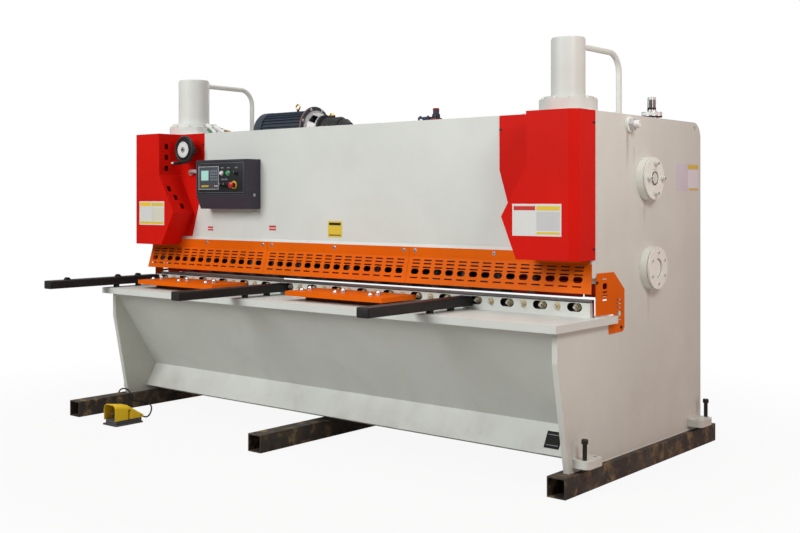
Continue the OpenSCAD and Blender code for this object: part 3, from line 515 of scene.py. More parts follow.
class Shape:
    """Mesh of one piece, built in machine millimetres with a finish per part."""

    def __init__(self, finishes: Finishes) -> None:
        """Starts an empty mesh.

        Args:
            finishes: the machine's finishes.
        """
        self.finishes = finishes
        self.bm = bmesh.new()
        self.names: list[str] = []

    def _slot(self, finish: str) -> int:
        """Gives the material index of a finish."""
        if finish not in self.names:
            self.names.append(finish)
        return self.names.index(finish)

    def _take(self, part: bmesh.types.BMesh, finish: str, bevel: float = 0.0) -> None:
        """Bevels a part's sharp edges, gives it its finish and adds it.

        Args:
            part: the part's own mesh, which is freed.
            finish: name of its finish.
            bevel: width of the bevel in millimetres.
        """
        bmesh.ops.recalc_face_normals(part, faces=part.faces)
        if bevel > 0.0:
            sharp = [e for e in part.edges if e.is_manifold and e.calc_face_angle(0.0) > 0.6]
            bmesh.ops.bevel(part, geom=sharp, offset=bevel * MM, segments=2, profile=0.6,
                            affect="EDGES", clamp_overlap=True)
        index = self._slot(finish)
        for face in part.faces:
            face.material_index = index
        mesh = bpy.data.meshes.new("part")
        part.to_mesh(mesh)
        part.free()
        self.bm.from_mesh(mesh)
        bpy.data.meshes.remove(mesh)

    def box(self, low: Triple, high: Triple, finish: str, bevel: float = 1.0) -> None:
        """Adds a box between two corners with rounded edges."""
        self.prism([(low[0], low[2]), (high[0], low[2]), (high[0], high[2]), (low[0], high[2])],
                   Axis.Y, low[1], high[1], finish, bevel)

    def prism(self, outline: list[tuple[float, float]], axis: Axis, start: float, end: float,
              finish: str, bevel: float = 1.0) -> None:
        """Adds an outline extruded along an axis.

        Args:
            outline: points (Y, Z) for X, (X, Z) for Y and (X, Y) for Z.
            axis: X, Y or Z.
            start: first position on the axis.
            end: last position on the axis.
            finish: name of its finish.
            bevel: width of the bevel.
        """
        part = bmesh.new()
        rows = []
        for run in (start, end):
            row = []
            for a, b in outline:
                if axis is Axis.X:
                    spot = place(run, a, b)
                elif axis is Axis.Y:
                    spot = place(a, run, b)
                else:
                    spot = place(a, b, run)
                row.append(part.verts.new(spot))
            rows.append(row)
        part.faces.new(rows[0])
        part.faces.new(rows[1])
        count = len(outline)
        for i in range(count):
            j = (i + 1) % count
            part.faces.new((rows[0][i], rows[0][j], rows[1][j], rows[1][i]))
        self._take(part, finish, bevel)

    def turned(self, profile: list[tuple[float, float]], axis: Axis, centre: Triple, finish: str,
               steps: int = 40, turn: float = 0.0) -> None:
        """Adds a shape of revolution.

        Args:
            profile: (run, radius) points from one end to the other, closed at radius 0.
            axis: direction of the run.
            centre: point where the run is 0.
            finish: name of its finish.
            steps: number of sides.
            turn: angle of the first side in radians.
        """
        part = bmesh.new()
        rings = []
        for run, radius in profile:
            if radius < 1e-6:
                rings.append([part.verts.new(along(axis, centre, 0, 0, run))])
            else:
                rings.append([part.verts.new(along(
                    axis, centre, radius * math.cos(turn + math.tau * k / steps),
                    radius * math.sin(turn + math.tau * k / steps), run)) for k in range(steps)])
        for a, b in zip(rings, rings[1:]):
            for k in range(steps):
                m = (k + 1) % steps
                corners = [a[k % len(a)], a[m % len(a)], b[m % len(b)], b[k % len(b)]]
                unique = list(dict.fromkeys(corners))
                if len(unique) > 2:
                    part.faces.new(unique)
        for end in (rings[0], rings[-1]):
            if len(end) > 1:
                part.faces.new(end)
        self._take(part, finish)

    def ring(self, axis: Axis, centre: Triple, radius: float, section: float, finish: str,
             steps: int = 56, sides: int = 14) -> None:
        """Adds a torus round an axis."""
        part = bmesh.new()
        rows = []
        for k in range(steps):
            angle = math.tau * k / steps
            row = []
            for s in range(sides):
                turn = math.tau * s / sides
                reach = radius + section * math.cos(turn)
                row.append(part.verts.new(along(axis, centre, reach * math.cos(angle),
                                                reach * math.sin(angle), section * math.sin(turn))))
            rows.append(row)
        for k in range(steps):
            for s in range(sides):
                k2, s2 = (k + 1) % steps, (s + 1) % sides
                part.faces.new((rows[k][s], rows[k2][s], rows[k2][s2], rows[k][s2]))
        self._take(part, finish)

    def tube(self, path: list[Triple], radius: float, finish: str, sides: int = 16) -> None:
        """Adds a round bar that follows a path of points with closed ends."""
        points = [place(*p) for p in path]
        part = bmesh.new()
        rings = []
        normal = None
        for i, point in enumerate(points):
            heading = (points[min(i + 1, len(points) - 1)] - points[max(i - 1, 0)]).normalized()
            if normal is None:
                seed = Vector((0, 0, 1)) if abs(heading.z) < 0.9 else Vector((1, 0, 0))
                normal = heading.cross(seed).normalized()
            normal = (normal - heading * normal.dot(heading)).normalized()
            side = heading.cross(normal)
            rings.append([part.verts.new(point + radius * MM * (
                math.cos(math.tau * k / sides) * normal + math.sin(math.tau * k / sides) * side))
                for k in range(sides)])
        for a, b in zip(rings, rings[1:]):
            for k in range(sides):
                m = (k + 1) % sides
                part.faces.new((a[k], a[m], b[m], b[k]))
        part.faces.new(rings[0])
        part.faces.new(rings[-1])
        self._take(part, finish)

    def loft(self, sections: list[list[Triple]], finish: str) -> None:
        """Adds a body through closed sections of equal point counts, closed at both ends."""
        part = bmesh.new()
        rows = [[part.verts.new(place(*p)) for p in row] for row in sections]
        for a, b in zip(rows, rows[1:]):
            for i in range(len(a)):
                j = (i + 1) % len(a)
                part.faces.new((a[i], a[j], b[j], b[i]))
        part.faces.new(rows[0])
        part.faces.new(rows[-1])
        self._take(part, finish)

    def carve(self, cutters: "Shape") -> None:
        """Cuts the closed shapes of another Shape out of this one.

        Args:
            cutters: what is cut away, which is used up.
        """
        pair = []
        for name, source in (("carved", self.bm), ("cutter", cutters.bm)):
            mesh = bpy.data.meshes.new(name)
            source.to_mesh(mesh)
            source.free()
            obj = bpy.data.objects.new(name, mesh)
            bpy.context.scene.collection.objects.link(obj)
            pair.append(obj)
        cut = pair[0].modifiers.new("cut", "BOOLEAN")
        cut.operation = "DIFFERENCE"
        cut.solver = "EXACT"
        cut.object = pair[1]
        graph = bpy.context.evaluated_depsgraph_get()
        mesh = bpy.data.meshes.new_from_object(pair[0].evaluated_get(graph), depsgraph=graph)
        for obj in pair:
            bpy.data.objects.remove(obj)
        self.bm = bmesh.new()
        self.bm.from_mesh(mesh)

    def hex_head(self, axis: Axis, centre: Triple, across: float, height: float, finish: str,
                 washer: float = 0.0) -> None:
        """Adds a hexagon bolt head with an optional washer under it."""
        radius = across / math.sqrt(3)
        base = 0.0
        if washer > 0.0:
            self.turned([(0, 0), (0, washer), (2, washer), (2.5, washer - 1), (2.5, 0)], axis, centre,
                        finish, 24)
            base = 2.5
        self.turned([(base, 0), (base, radius), (base + height * 0.85, radius),
                     (base + height, radius * 0.88), (base + height, 0)], axis, centre, finish, 6)

    def socket_head(self, axis: Axis, centre: Triple, radius: float, height: float, finish: str,
                    steps: int = 24) -> None:
        """Adds a cap screw head with its hexagon recess."""
        well = radius * 0.5
        self.turned([(0, 0), (0, radius), (height * 0.9, radius), (height, radius * 0.92),
                     (height, well), (height * 0.45, well * 0.95), (height * 0.45, 0)],
                    axis, centre, finish, steps)

    def finish(self, name: str, body: Body, slot: str, replaces: tuple[str, ...] = (),
               smooth: bool = True) -> bpy.types.Object:
        """Makes the object and rides it on its body.

        Args:
            name: name of the piece.
            body: the body it moves with.
            slot: not used; the name of the record's material slot.
            replaces: CAD nodes that it stands for.
            smooth: whether curved faces are shaded smooth.

        Returns:
            The object.
        """
        mesh = bpy.data.meshes.new(name)
        self.bm.to_mesh(mesh)
        self.bm.free()
        for label in self.names:
            mesh.materials.append(self.finishes[label])
        if smooth:
            mesh.shade_smooth()
            mesh.set_sharp_from_angle(angle=SMOOTH_ANGLE)
        obj = bpy.data.objects.new(name, mesh)
        bpy.context.scene.collection.objects.link(obj)
        settle(obj, body, replaces)
        return obj


def settle(obj: bpy.types.Object, body: Body, replaces: tuple[str, ...] = ()) -> None:
    """Rides a piece on its body and hides the nodes it stands for.

    Args:
        obj: the piece.
        body: the body it moves with.
        replaces: CAD nodes that it stands for.
    """
    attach(obj, body.value)
    if replaces:
        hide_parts(*replaces)
    log.info("%s: %d faces on %s", obj.name,
             len(obj.data.polygons) if obj.type == "MESH" else 0, body.value)


@dataclass(frozen=True)
class Fastener:
    """Sizes of one repeated fastener for the geometry nodes tree, in millimetres."""

    sides: int
    radius: float
    height: float
    washer: float = 0.0
    well: float = 0.0


class FastenerRow:
    """Geometry nodes tree that sets one fastener on every point of a mesh."""

    def __init__(self, finishes: Finishes) -> None:
        """Keeps the finishes and starts without a tree."""
        self.finishes = finishes
        self.tree: bpy.types.NodeTree | None = None

    @staticmethod
    def _disc(n: NodeTree, sides: object, low: object, high: object, depth: object,
              lift: object) -> object:
        """Adds a low cone that stands lift above the seat and returns its geometry socket."""
        cone = n.add("GeometryNodeMeshCone")
        n.link(sides, cone.inputs["Vertices"])
        n.link(low, cone.inputs["Radius Bottom"])
        n.link(high, cone.inputs["Radius Top"])
        n.link(depth, cone.inputs["Depth"])
        offset = n.add("ShaderNodeCombineXYZ")
        n.link(lift, offset.inputs[2])
        move = n.add("GeometryNodeTransform")
        n.link(cone.outputs["Mesh"], move.inputs["Geometry"])
        n.link(offset.outputs[0], move.inputs["Translation"])
        return move.outputs["Geometry"]

    @staticmethod
    def _coated(n: NodeTree, geometry: object, finish: object) -> object:
        """Gives a geometry its material and returns the socket."""
        coat = n.add("GeometryNodeSetMaterial")
        n.link(geometry, coat.inputs["Geometry"])
        n.link(finish, coat.inputs["Material"])
        return coat.outputs["Geometry"]

    @staticmethod
    def _if(n: NodeTree, wanted: object, geometry: object) -> object:
        """Passes a geometry on only where it is wanted."""
        switch = n.add("GeometryNodeSwitch", input_type="GEOMETRY")
        n.link(wanted, switch.inputs["Switch"])
        n.link(geometry, switch.inputs["True"])
        return switch.outputs["Output"]

    def _build(self) -> bpy.types.NodeTree:
        """Builds the tree with its named inputs."""
        tree = bpy.data.node_groups.new("fastener_row", "GeometryNodeTree")
        face = tree.interface
        face.new_socket("Points", in_out="INPUT", socket_type="NodeSocketGeometry")
        face.new_socket("Sides", in_out="INPUT", socket_type="NodeSocketInt")
        for label in ("Has Washer", "Has Well"):
            face.new_socket(label, in_out="INPUT", socket_type="NodeSocketBool")
        for label in ("Radius", "Height", "Washer Radius", "Well Radius"):
            face.new_socket(label, in_out="INPUT", socket_type="NodeSocketFloat")
        face.new_socket("Turn", in_out="INPUT", socket_type="NodeSocketVector")
        for label in ("Finish", "Well Finish"):
            face.new_socket(label, in_out="INPUT", socket_type="NodeSocketMaterial")
        face.new_socket("Result", in_out="OUTPUT", socket_type="NodeSocketGeometry")
        n = NodeTree(tree)
        gin, gout = n.add("NodeGroupInput"), n.add("NodeGroupOutput")
        radius, height = gin.outputs["Radius"], gin.outputs["Height"]
        sides, finish = gin.outputs["Sides"], gin.outputs["Finish"]
        shank = self._disc(n, sides, radius, radius, n.math("MULTIPLY", height, 0.8), 0.0)
        crown = self._disc(n, sides, radius, n.math("MULTIPLY", radius, 0.86),
                           n.math("MULTIPLY", height, 0.2), n.math("MULTIPLY", height, 0.8))
        washer = self._disc(n, 24, gin.outputs["Washer Radius"],
                            n.math("MULTIPLY", gin.outputs["Washer Radius"], 0.95),
                            n.math("MULTIPLY", height, 0.18), 0.0)
        well = self._disc(n, 6, gin.outputs["Well Radius"], gin.outputs["Well Radius"],
                          n.math("MULTIPLY", height, 0.04), height)
        join = n.add("GeometryNodeJoinGeometry")
        for part in (self._coated(n, shank, finish), self._coated(n, crown, finish),
                     self._if(n, gin.outputs["Has Washer"], self._coated(n, washer, finish)),
                     self._if(n, gin.outputs["Has Well"],
                              self._coated(n, well, gin.outputs["Well Finish"]))):
            n.link(part, join.inputs[0])
        scatter = n.add("GeometryNodeInstanceOnPoints")
        n.link(gin.outputs["Points"], scatter.inputs["Points"])
        n.link(join.outputs[0], scatter.inputs["Instance"])
        turn = n.add("FunctionNodeEulerToRotation")
        n.link(gin.outputs["Turn"], turn.inputs[0])
        n.link(turn.outputs[0], scatter.inputs["Rotation"])
        real = n.add("GeometryNodeRealizeInstances")
        n.link(scatter.outputs[0], real.inputs[0])
        n.link(real.outputs[0], gout.inputs[0])
        return tree

    def lay(self, name: str, spots: list[Triple], kind: Fastener, axis: "Axis", finish: str,
            body: Body) -> bpy.types.Object:
        """Makes one piece of fasteners.

        Args:
            name: name of the piece.
            spots: where each head meets its plate, in machine millimetres.
            kind: the fastener's sizes.
            axis: the way the heads face.
            finish: name of the finish.
            body: the body it moves with.

        Returns:
            The piece as a plain mesh.
        """
        if self.tree is None:
            self.tree = self._build()
        points = bpy.data.meshes.new(name + "_points")
        points.from_pydata([place(*s) for s in spots], [], [])
        source = bpy.data.objects.new(name + "_points", points)
        bpy.context.scene.collection.objects.link(source)
        modifier = source.modifiers.new("row", "NODES")
        modifier.node_group = self.tree
        values = {"Sides": kind.sides, "Radius": kind.radius * MM, "Height": kind.height * MM,
                  "Has Washer": kind.washer > 0, "Washer Radius": kind.washer * MM,
                  "Has Well": kind.well > 0, "Well Radius": kind.well * MM,
                  "Turn": FACING[axis], "Finish": self.finishes[finish],
                  "Well Finish": self.finishes["black_oxide"]}
        for item in self.tree.interface.items_tree:
            if item.in_out == "INPUT" and item.name in values:
                modifier[item.identifier] = values[item.name]
        graph = bpy.context.evaluated_depsgraph_get()
        mesh = bpy.data.meshes.new_from_object(source.evaluated_get(graph), depsgraph=graph)
        bpy.data.objects.remove(source)
        mesh.name = name
        mesh.shade_smooth()
        mesh.set_sharp_from_angle(angle=SMOOTH_ANGLE)
        obj = bpy.data.objects.new(name, mesh)
        bpy.context.scene.collection.objects.link(obj)
        settle(obj, body)
        return obj


FACING = {Axis.Z: (0.0, 0.0, 0.0), Axis.FRONT: (math.pi / 2, 0.0, 0.0),
          Axis.Y: (-math.pi / 2, 0.0, 0.0), Axis.X: (0.0, math.pi / 2, 0.0),
          Axis.BACK: (0.0, -math.pi / 2, 0.0)}


def bolt_circle(axis: Axis, centre: Triple, radius: float, count: int, start: float = 0.0) -> list:
    """Gives points round an axis in machine millimetres.

    Args:
        axis: the circle's axis.
        centre: its centre.
        radius: its radius.
        count: number of points.
        start: angle of the first point in degrees.

    Returns:
        The points.
    """
    out = []
    for k in range(count):
        a = math.radians(start + 360.0 * k / count)
        u, v = radius * math.cos(a), radius * math.sin(a)
        x, y, z = centre
        if axis in (Axis.X, Axis.BACK):
            out.append((x, y + u, z + v))
        elif axis in (Axis.Y, Axis.FRONT):
            out.append((x + u, y, z + v))
        else:
            out.append((x + u, y + v, z))
    return out


@dataclass
class Studio:
    """Camera, floor and lamps."""

    eye: Triple = (4382.5, -4927.6, 1421.7)
    heading: float = 0.7249
    lens: float = 49.62
    shift: tuple[float, float] = (0.0819, -0.0835)
    floor_size: float = 60.0

    def camera(self) -> None:
        """Sets up the camera at the photograph's view."""
        data = bpy.data.cameras.new("camera")
        data.sensor_width = 36.0
        data.lens = self.lens
        data.shift_x, data.shift_y = self.shift
        data.clip_end = 200.0
        obj = bpy.data.objects.new("camera", data)
        obj.location = place(*self.eye)
        obj.rotation_euler = (math.pi / 2, 0.0, self.heading)
        bpy.context.scene.collection.objects.link(obj)
        bpy.context.scene.camera = obj

    def floor(self) -> None:
        """Lays the pale floor, which turns white away from the machine."""
        mesh = bpy.data.meshes.new("floor")
        s = self.floor_size
        mesh.from_pydata([(-s, -s, 0), (s, -s, 0), (s, s, 0), (-s, s, 0)], [], [(0, 1, 2, 3)])
        material = bpy.data.materials.new("floor_white")
        material.use_nodes = True
        n = NodeTree(material.node_tree)
        material.node_tree.nodes.remove(material.node_tree.nodes["Principled BSDF"])
        output = material.node_tree.nodes["Material Output"]
        diffuse = n.add("ShaderNodeBsdfDiffuse")
        diffuse.inputs["Color"].default_value = (0.42, 0.40, 0.38, 1.0)
        white = n.add("ShaderNodeEmission")
        white.inputs["Color"].default_value = (1.0, 1.0, 1.0, 1.0)
        white.inputs["Strength"].default_value = 1.0
        spot = n.add("ShaderNodeTexCoord").outputs["Object"]
        reach = n.add("ShaderNodeVectorMath", operation="LENGTH")
        n.link(spot, reach.inputs[0])
        far = n.math("ADD", 0.92, n.math("MULTIPLY", n.ramp(reach.outputs["Value"], 1.6, 4.2), 0.08))
        path = n.add("ShaderNodeLightPath")
        seen = n.math("ADD", path.outputs["Is Camera Ray"], path.outputs["Is Transmission Ray"], True)
        mix = n.add("ShaderNodeMixShader")
        n.link(n.math("MULTIPLY", far, seen), mix.inputs[0])
        n.link(diffuse.outputs[0], mix.inputs[1])
        n.link(white.outputs[0], mix.inputs[2])
        n.link(mix.outputs[0], output.inputs["Surface"])
        mesh.materials.append(material)
        obj = bpy.data.objects.new("floor", mesh)
        bpy.context.scene.collection.objects.link(obj)

    def world(self) -> None:
        """Gives soft sky light and a white background."""
        world = bpy.data.worlds.new("studio")
        bpy.context.scene.world = world
        world.use_nodes = True
        n = NodeTree(world.node_tree)
        back = world.node_tree.nodes["Background"]
        back.inputs["Color"].default_value = (1.0, 0.97, 0.95, 1.0)
        back.inputs["Strength"].default_value = 0.16
        white = n.add("ShaderNodeBackground")
        white.inputs["Color"].default_value = (1.0, 1.0, 1.0, 1.0)
        white.inputs["Strength"].default_value = 1.0
        path = n.add("ShaderNodeLightPath")
        seen = n.math("ADD", path.outputs["Is Camera Ray"],
                      n.math("ADD", n.math("MULTIPLY", path.outputs["Is Glossy Ray"], 0.35),
                             path.outputs["Is Transmission Ray"]), True)
        mix = n.add("ShaderNodeMixShader")
        n.link(seen, mix.inputs[0])
        n.link(back.outputs[0], mix.inputs[1])
        n.link(white.outputs[0], mix.inputs[2])
        n.link(mix.outputs[0], world.node_tree.nodes["World Output"].inputs["Surface"])

    def lamp(self, name: str, spot: Triple, aim: Triple, size: float, power: float,
             colour: Colour) -> None:
        """Adds one large soft lamp.

        Args:
            name: name of the lamp.
            spot: its place in frame metres.
            aim: the point it faces in frame metres.
            size: side of the square lamp in metres.
            power: watts.
            colour: its colour.
        """
        data = bpy.data.lights.new(name, "AREA")
        data.shape = "SQUARE"
        data.size = size
        data.energy = power
        data.color = colour
        obj = bpy.data.objects.new(name, data)
        obj.location = spot
        obj.rotation_euler = (Vector(aim) - Vector(spot)).to_track_quat("-Z", "Y").to_euler()
        obj.visible_camera = False
        bpy.context.scene.collection.objects.link(obj)

    def build(self) -> None:
        """Makes the camera, floor, world and lamps."""
        bpy.context.scene.view_settings.view_transform = "Standard"
        self.camera()
        self.floor()
        self.world()
        self.lamp("key", (-2.0, -7.5, 5.5), (0.0, 0.0, 1.0), 5.0, 540.0, (0.98, 1.0, 0.995))
        self.lamp("top", (0.5, 0.5, 7.5), (0.0, 0.0, 1.0), 5.0, 150.0, (1.0, 0.99, 0.97))
        self.lamp("upper_right", (3.9, -1.3, 3.1), (1.7, 0.0, 1.8), 1.2, 56.0, (1.0, 0.97, 0.94))
        self.lamp("warm_right", (7.5, 3.0, 1.8), (1.7, 0.4, 1.0), 3.0, 85.0, (1.0, 0.58, 0.50))
        self.lamp("rear", (-3.0, 7.0, 5.0), (0.0, 0.0, 1.0), 5.0, 150.0, (1.0, 0.98, 0.96))


@dataclass
class PedalCable:
    """Free cable from the foot pedal to the left side plate."""

    radius: float = 5.0
    steps: int = 3
    route: tuple[Triple, ...] = (
        (-1277, -436, 22), (-1277, -426, 22), (-1277, -416, 22), (-1290, -372, 10),
        (-1318, -330, 7), (-1400, -245, 6.5), (-1520, -140, 7), (-1600, -85, 9), (-1632, -76, 20),
        (-1637, -140, 40), (-1638, -200, 52), (-1638, -222, 74), (-1639, -226, 102),
        (-1660, -230, 124), (-1695, -231, 130), (-1730, -234, 122), (-1752, -238, 98),
        (-1757, -235, 55), (-1766, -205, 17), (-1790, -100, 10), (-1830, 100, 6.5),
        (-1840, 320, 7.5), (-1822, 560, 13), (-1800, 655, 70), (-1772, 678, 170),
        (-1734, 680, 210), (-1722, 680, 210), (-1710, 680, 210))

    def line(self) -> list[Vector]:
        """Gives the smooth centreline in metres, as the CAD cable follows it."""
        pts = [Vector(p) for p in self.route]
        out = []
        last = len(pts) - 1
        for i in range(last):
            p0, p1, p2, p3 = (pts[max(0, min(last, j))] for j in (i - 1, i, i + 1, i + 2))
            for k in range(self.steps):
                t = k / self.steps
                out.append(0.5 * (2 * p1 + (p2 - p0) * t + (2 * p0 - 5 * p1 + 4 * p2 - p3) * t * t
                                  + (3 * p1 - p0 - 3 * p2 + p3) * t ** 3))
        out.append(pts[last])
        return [place(*p) for p in out]

    def build(self, finishes: Finishes) -> None:
        """Args:
            finishes: the machine's finishes.
        """
        points = self.line()
        curve = bpy.data.curves.new("pedal_cable_lead", "CURVE")
        curve.dimensions = "3D"
        curve.bevel_depth = self.radius * MM
        curve.bevel_resolution = 3
        curve.use_fill_caps = True
        spline = curve.splines.new("POLY")
        spline.points.add(len(points) - 1)
        for target, point in zip(spline.points, points):
            target.co = (*point, 1.0)
        curve.materials.append(finishes["rubber_black"])
        obj = bpy.data.objects.new("pedal_cable_lead", curve)
        bpy.context.scene.collection.objects.link(obj)
        settle(obj, Body.FRAME, ("pedal_cable",))


class Paintwork:
    """Finishes of the CAD nodes whose own shape is shown."""

    COATS = {
        "cream_paint": ("bed_apron", "bed_beam", "work_table", "left_cylinder", "left_oil_pipe",
                        "right_oil_pipe", "oil_tank"),
        "cream_paint_shaded_copy": ("right_cylinder",),
        "fitting_white": ("left_side_fittings", "right_side_fittings"),
        "side_cream": ("left_side_plate", "right_side_plate"),
        "panel_cream_shaded_below": ("front_panel",),
        "corner_red": ("left_red_cover", "right_red_cover"),
        "ram_red_shaded_middle": ("ram",),
        "guard_orange": ("left_finger_guard", "middle_finger_guard", "right_finger_guard",
                         "left_throat_guard", "right_throat_guard"),
        "ground_steel": ("lower_blade",),
        "blade_shaded_middle": ("upper_blade",),
        "dark_steel": ("hold_down_cylinders",),
        "arm_black": ("left_support_arm", "middle_support_arm", "right_support_arm"),
        "skid_mill_scale": ("left_skid", "middle_skid", "right_skid"),
        "panel_grey": ("control_box",),
        "hood_yellow": ("pedal_hood",),
        "pedal_grey": ("pedal_base",),
        "guard_orange_tray": ("left_table_tray", "right_table_tray"),
        "motor_blue": ("motor",),
        "pump_iron": ("gear_pump",),
        "bell_grey": ("bell_housing",),
        "valve_navy": ("valve_block",),
        "zinc": ("breather", "pedal_treadle"),
        "button_red": ("emergency_stop",),
        "plastic_black": ("handwheel",),
    }

    def build(self, finishes: Finishes) -> None:
        """Gives every shown node its finish.

        Args:
            finishes: the machine's finishes.
        """
        for name, nodes in self.COATS.items():
            coat = finishes["guard_orange" if name == "guard_orange_tray" else name]
            for node in nodes:
                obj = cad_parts[node]
                obj.data.materials.clear()
                obj.data.materials.append(coat)
            log.info("%s on %d nodes", name, len(nodes))


@dataclass
class BladeBlock:
    """Bolster under the lower blade with its long pockets and gold bolts."""

    face: float = 40.0
    back: float = 75.0
    low: float = 830.0
    high: float = 904.0
    half: float = 1686.0
    pitch: float = 200.0
    pocket: tuple[float, float, float] = (84.0, 44.0, 26.0)
    drop: float = 25.0

    def outline(self, x: float) -> list[tuple[float, float]]:
        """Gives the outline of one long pocket round x."""
        wide, tall, _ = self.pocket
        r, z = tall / 2, self.high - self.drop
        points = []
        for side in (1, -1):
            for k in range(13):
                a = math.radians(-90 + 15 * k)
                points.append((x + side * (wide / 2 - r + r * math.cos(a)), z + side * r * math.sin(a)))
        return points

    def build(self, finishes: Finishes, rows: FastenerRow) -> None:
        """Makes the block and lays its bolts.

        Args:
            finishes: the machine's finishes.
            rows: the fastener tree.
        """
        depth = self.pocket[2]
        block, cutters = Shape(finishes), Shape(finishes)
        block.box((-self.half, self.face, self.low), (self.half, self.back, self.high), "cream_paint", 0.0)
        for i in range(-8, 9):
            cutters.prism(self.outline(i * self.pitch), Axis.Y, self.face - 5, self.face + depth,
                          "cream_paint", 0.0)
        block.carve(cutters)
        # The pockets' walls and floors take the near-black finish: painted shade inside the pockets.
        pocket_shade = block._slot("black_and_pocket_shade")
        for part in block.bm.faces:
            depth_in = part.calc_center_median().y - place(0, self.face, 0).y
            if 0.001 < depth_in < (depth + 1.0) * MM and abs(part.normal.x) < 0.999:
                part.material_index = pocket_shade
        block.finish("blade_block_pockets", Body.FRAME, "white_paint", ("blade_block",), smooth=False)
        z = self.high - self.drop - 1
        inner = [(i * self.pitch, self.face + depth, z) for i in range(-8, 9)]
        outer = [((i + 0.5) * self.pitch, self.face, z) for i in range(-8, 8)]
        for name, spots, nut, stud in (("pocket", inner, 14, 30), ("block", outer, 10, 24)):
            rows.lay(f"{name}_nuts", spots, Fastener(6, 16.5, nut, 21), Axis.FRONT, "gold_zinc",
                     Body.FRAME)
            rows.lay(f"{name}_studs", spots, Fastener(16, 8.5, stud), Axis.FRONT, "silver",
                     Body.FRAME)


@dataclass
class Hardware:
    """Screws and bolts that stand in rows and circles on the machine."""

    plate_x: float = 1710.0
    top: float = 1868.0

    def build(self, rows: FastenerRow) -> None:
        """Lays every row and circle.

        Args:
            rows: the fastener tree.
        """
        def row(name: str, spots: list, kind: Fastener, axis: Axis, finish: str, slot: str) -> None:
            rows.lay(name, spots, kind, axis, finish, Body.FRAME)

        row("guard_screws", [(k * 1133 + d, 18, 1136) for k in (-1, 0, 1) for d in (-527, 0, 527)],
            Fastener(20, 8, 5, 12, 3.6), Axis.FRONT, "zinc", "orange_paint")
        row("cover_flange_screws", [(1163, 37, 1794), (-1191, 37, 1794)],
            Fastener(20, 7, 5, 0, 3.4), Axis.FRONT, "black_oxide", "red_paint")
        for side, axis, label in ((1, Axis.X, "right"), (-1, Axis.BACK, "left")):
            row(f"{label}_cover_side_screws", [(side * 1714, 28, z) for z in (1806, 1175)],
                Fastener(20, 7, 5, 0, 3.4), axis, "black_oxide", "red_paint")
            row(f"{label}_throat_guard_screws", [(side * 1714, 61, 1006), (side * 1714, 317, 764)],
                Fastener(20, 8, 5, 9, 3.6), axis, "black_oxide", "orange_paint")
            face = side * (self.plate_x + 50)
            row(f"{label}_upper_flange_bolts", bolt_circle(axis, (face, 612, 1536), 80, 4),
                Fastener(24, 12, 24, 0, 6), axis, "cream_paint", "white_paint")
            row(f"{label}_lower_flange_bolts", bolt_circle(axis, (face, 655, 1055), 84, 6, 30),
                Fastener(24, 9, 5, 0, 5), axis, "cream_paint", "white_paint")
            foot, radius = (75, 89) if side > 0 else (54, 107)
            row(f"{label}_cylinder_bolts",
                bolt_circle(Axis.Z, (side * 1473, 200, self.top + foot), radius + 52, 10, 18),
                Fastener(20, 8, 10, 0, 4), Axis.Z, "cream_paint", "white_paint")
            row(f"{label}_bridge_bolts",
                [(side * x, y, self.top) for x in (1268, 1655) for y in (95, 365)],
                Fastener(6, 13, 12, 17), Axis.Z, "cream_paint", "white_paint")
            row(f"{label}_levelling_heads", [(side * 1762, -150, 245), (side * 1755, 1285, 245)],
                Fastener(24, 16.5, 22, 0, 9), Axis.Z, "black_oxide", "black_paint")
        row("motor_flange_bolts", bolt_circle(Axis.X, (-590, 500, 1890), 138, 8, 22.5),
            Fastener(6, 11, 9, 0), Axis.X, "zinc", "motor_paint")
        row("motor_foot_bolts", [(x, y, 1755) for x in (-930, -730) for y in (380, 620)],
            Fastener(6, 11, 10, 15), Axis.Z, "zinc", "motor_paint")
        row("pump_bolts", bolt_circle(Axis.X, (-352, 500, 1890), 52, 4, 45),
            Fastener(24, 8, 9, 0, 4), Axis.X, "black_oxide", "dark_iron")
        row("valve_bolts", [(valve, y, 1926) for valve in (304, 362) for y in (470, 530)],
            Fastener(20, 7, 7, 0, 3.5), Axis.Z, "black_oxide", "valve_paint")
        row("tank_cover_bolts", [(x, y, 1725) for x in (-180, 0, 180) for y in (860, 1140)],
            Fastener(6, 10, 8, 13), Axis.Z, "zinc", "white_paint")
        row("tray_screws", [(x0 + x, y, 886) for x0 in (-1498, -129) for x in (110, 365, 620)
                            for y in (-160, -10)],
            Fastener(20, 6, 3, 0, 3), Axis.Z, "zinc", "orange_paint")


@dataclass(frozen=True)
class Plate:
    """A bare plate with plain fields of colour on a face of the machine."""

    name: str
    axis: Axis
    depth: float
    low: tuple[float, float]
    high: tuple[float, float]
    base: str
    slot: str
    fields: tuple = ()

    def build(self, finishes: Finishes) -> None:
        """Makes the plate and its fields.

        Args:
            finishes: the machine's finishes.
        """
        shape = Shape(finishes)
        out = 1 if self.axis is Axis.X else -1
        self._slab(shape, 0.2, 0.9, (0.0, 0.0, 1.0, 1.0), self.base, out)
        for u0, v0, u1, v1, finish in self.fields:
            self._slab(shape, 0.9, 1.1, (u0, v0, u1, v1), finish, out)
        shape.finish(self.name, Body.FRAME, self.slot)

    def _slab(self, shape: Shape, near: float, far: float, part: tuple, finish: str,
              out: int) -> None:
        """Adds one thin slab that covers a share of the plate."""
        u0, v0, u1, v1 = part
        wide, tall = self.high[0] - self.low[0], self.high[1] - self.low[1]
        a = (self.low[0] + u0 * wide, self.low[1] + v0 * tall)
        b = (self.low[0] + u1 * wide, self.low[1] + v1 * tall)
        d0, d1 = sorted((self.depth + out * near, self.depth + out * far))
        if self.axis is Axis.X:
            shape.box((d0, a[0], a[1]), (d1, b[0], b[1]), finish, 0.0)
        else:
            shape.box((a[0], d0, a[1]), (b[0], d1, b[1]), finish, 0.0)


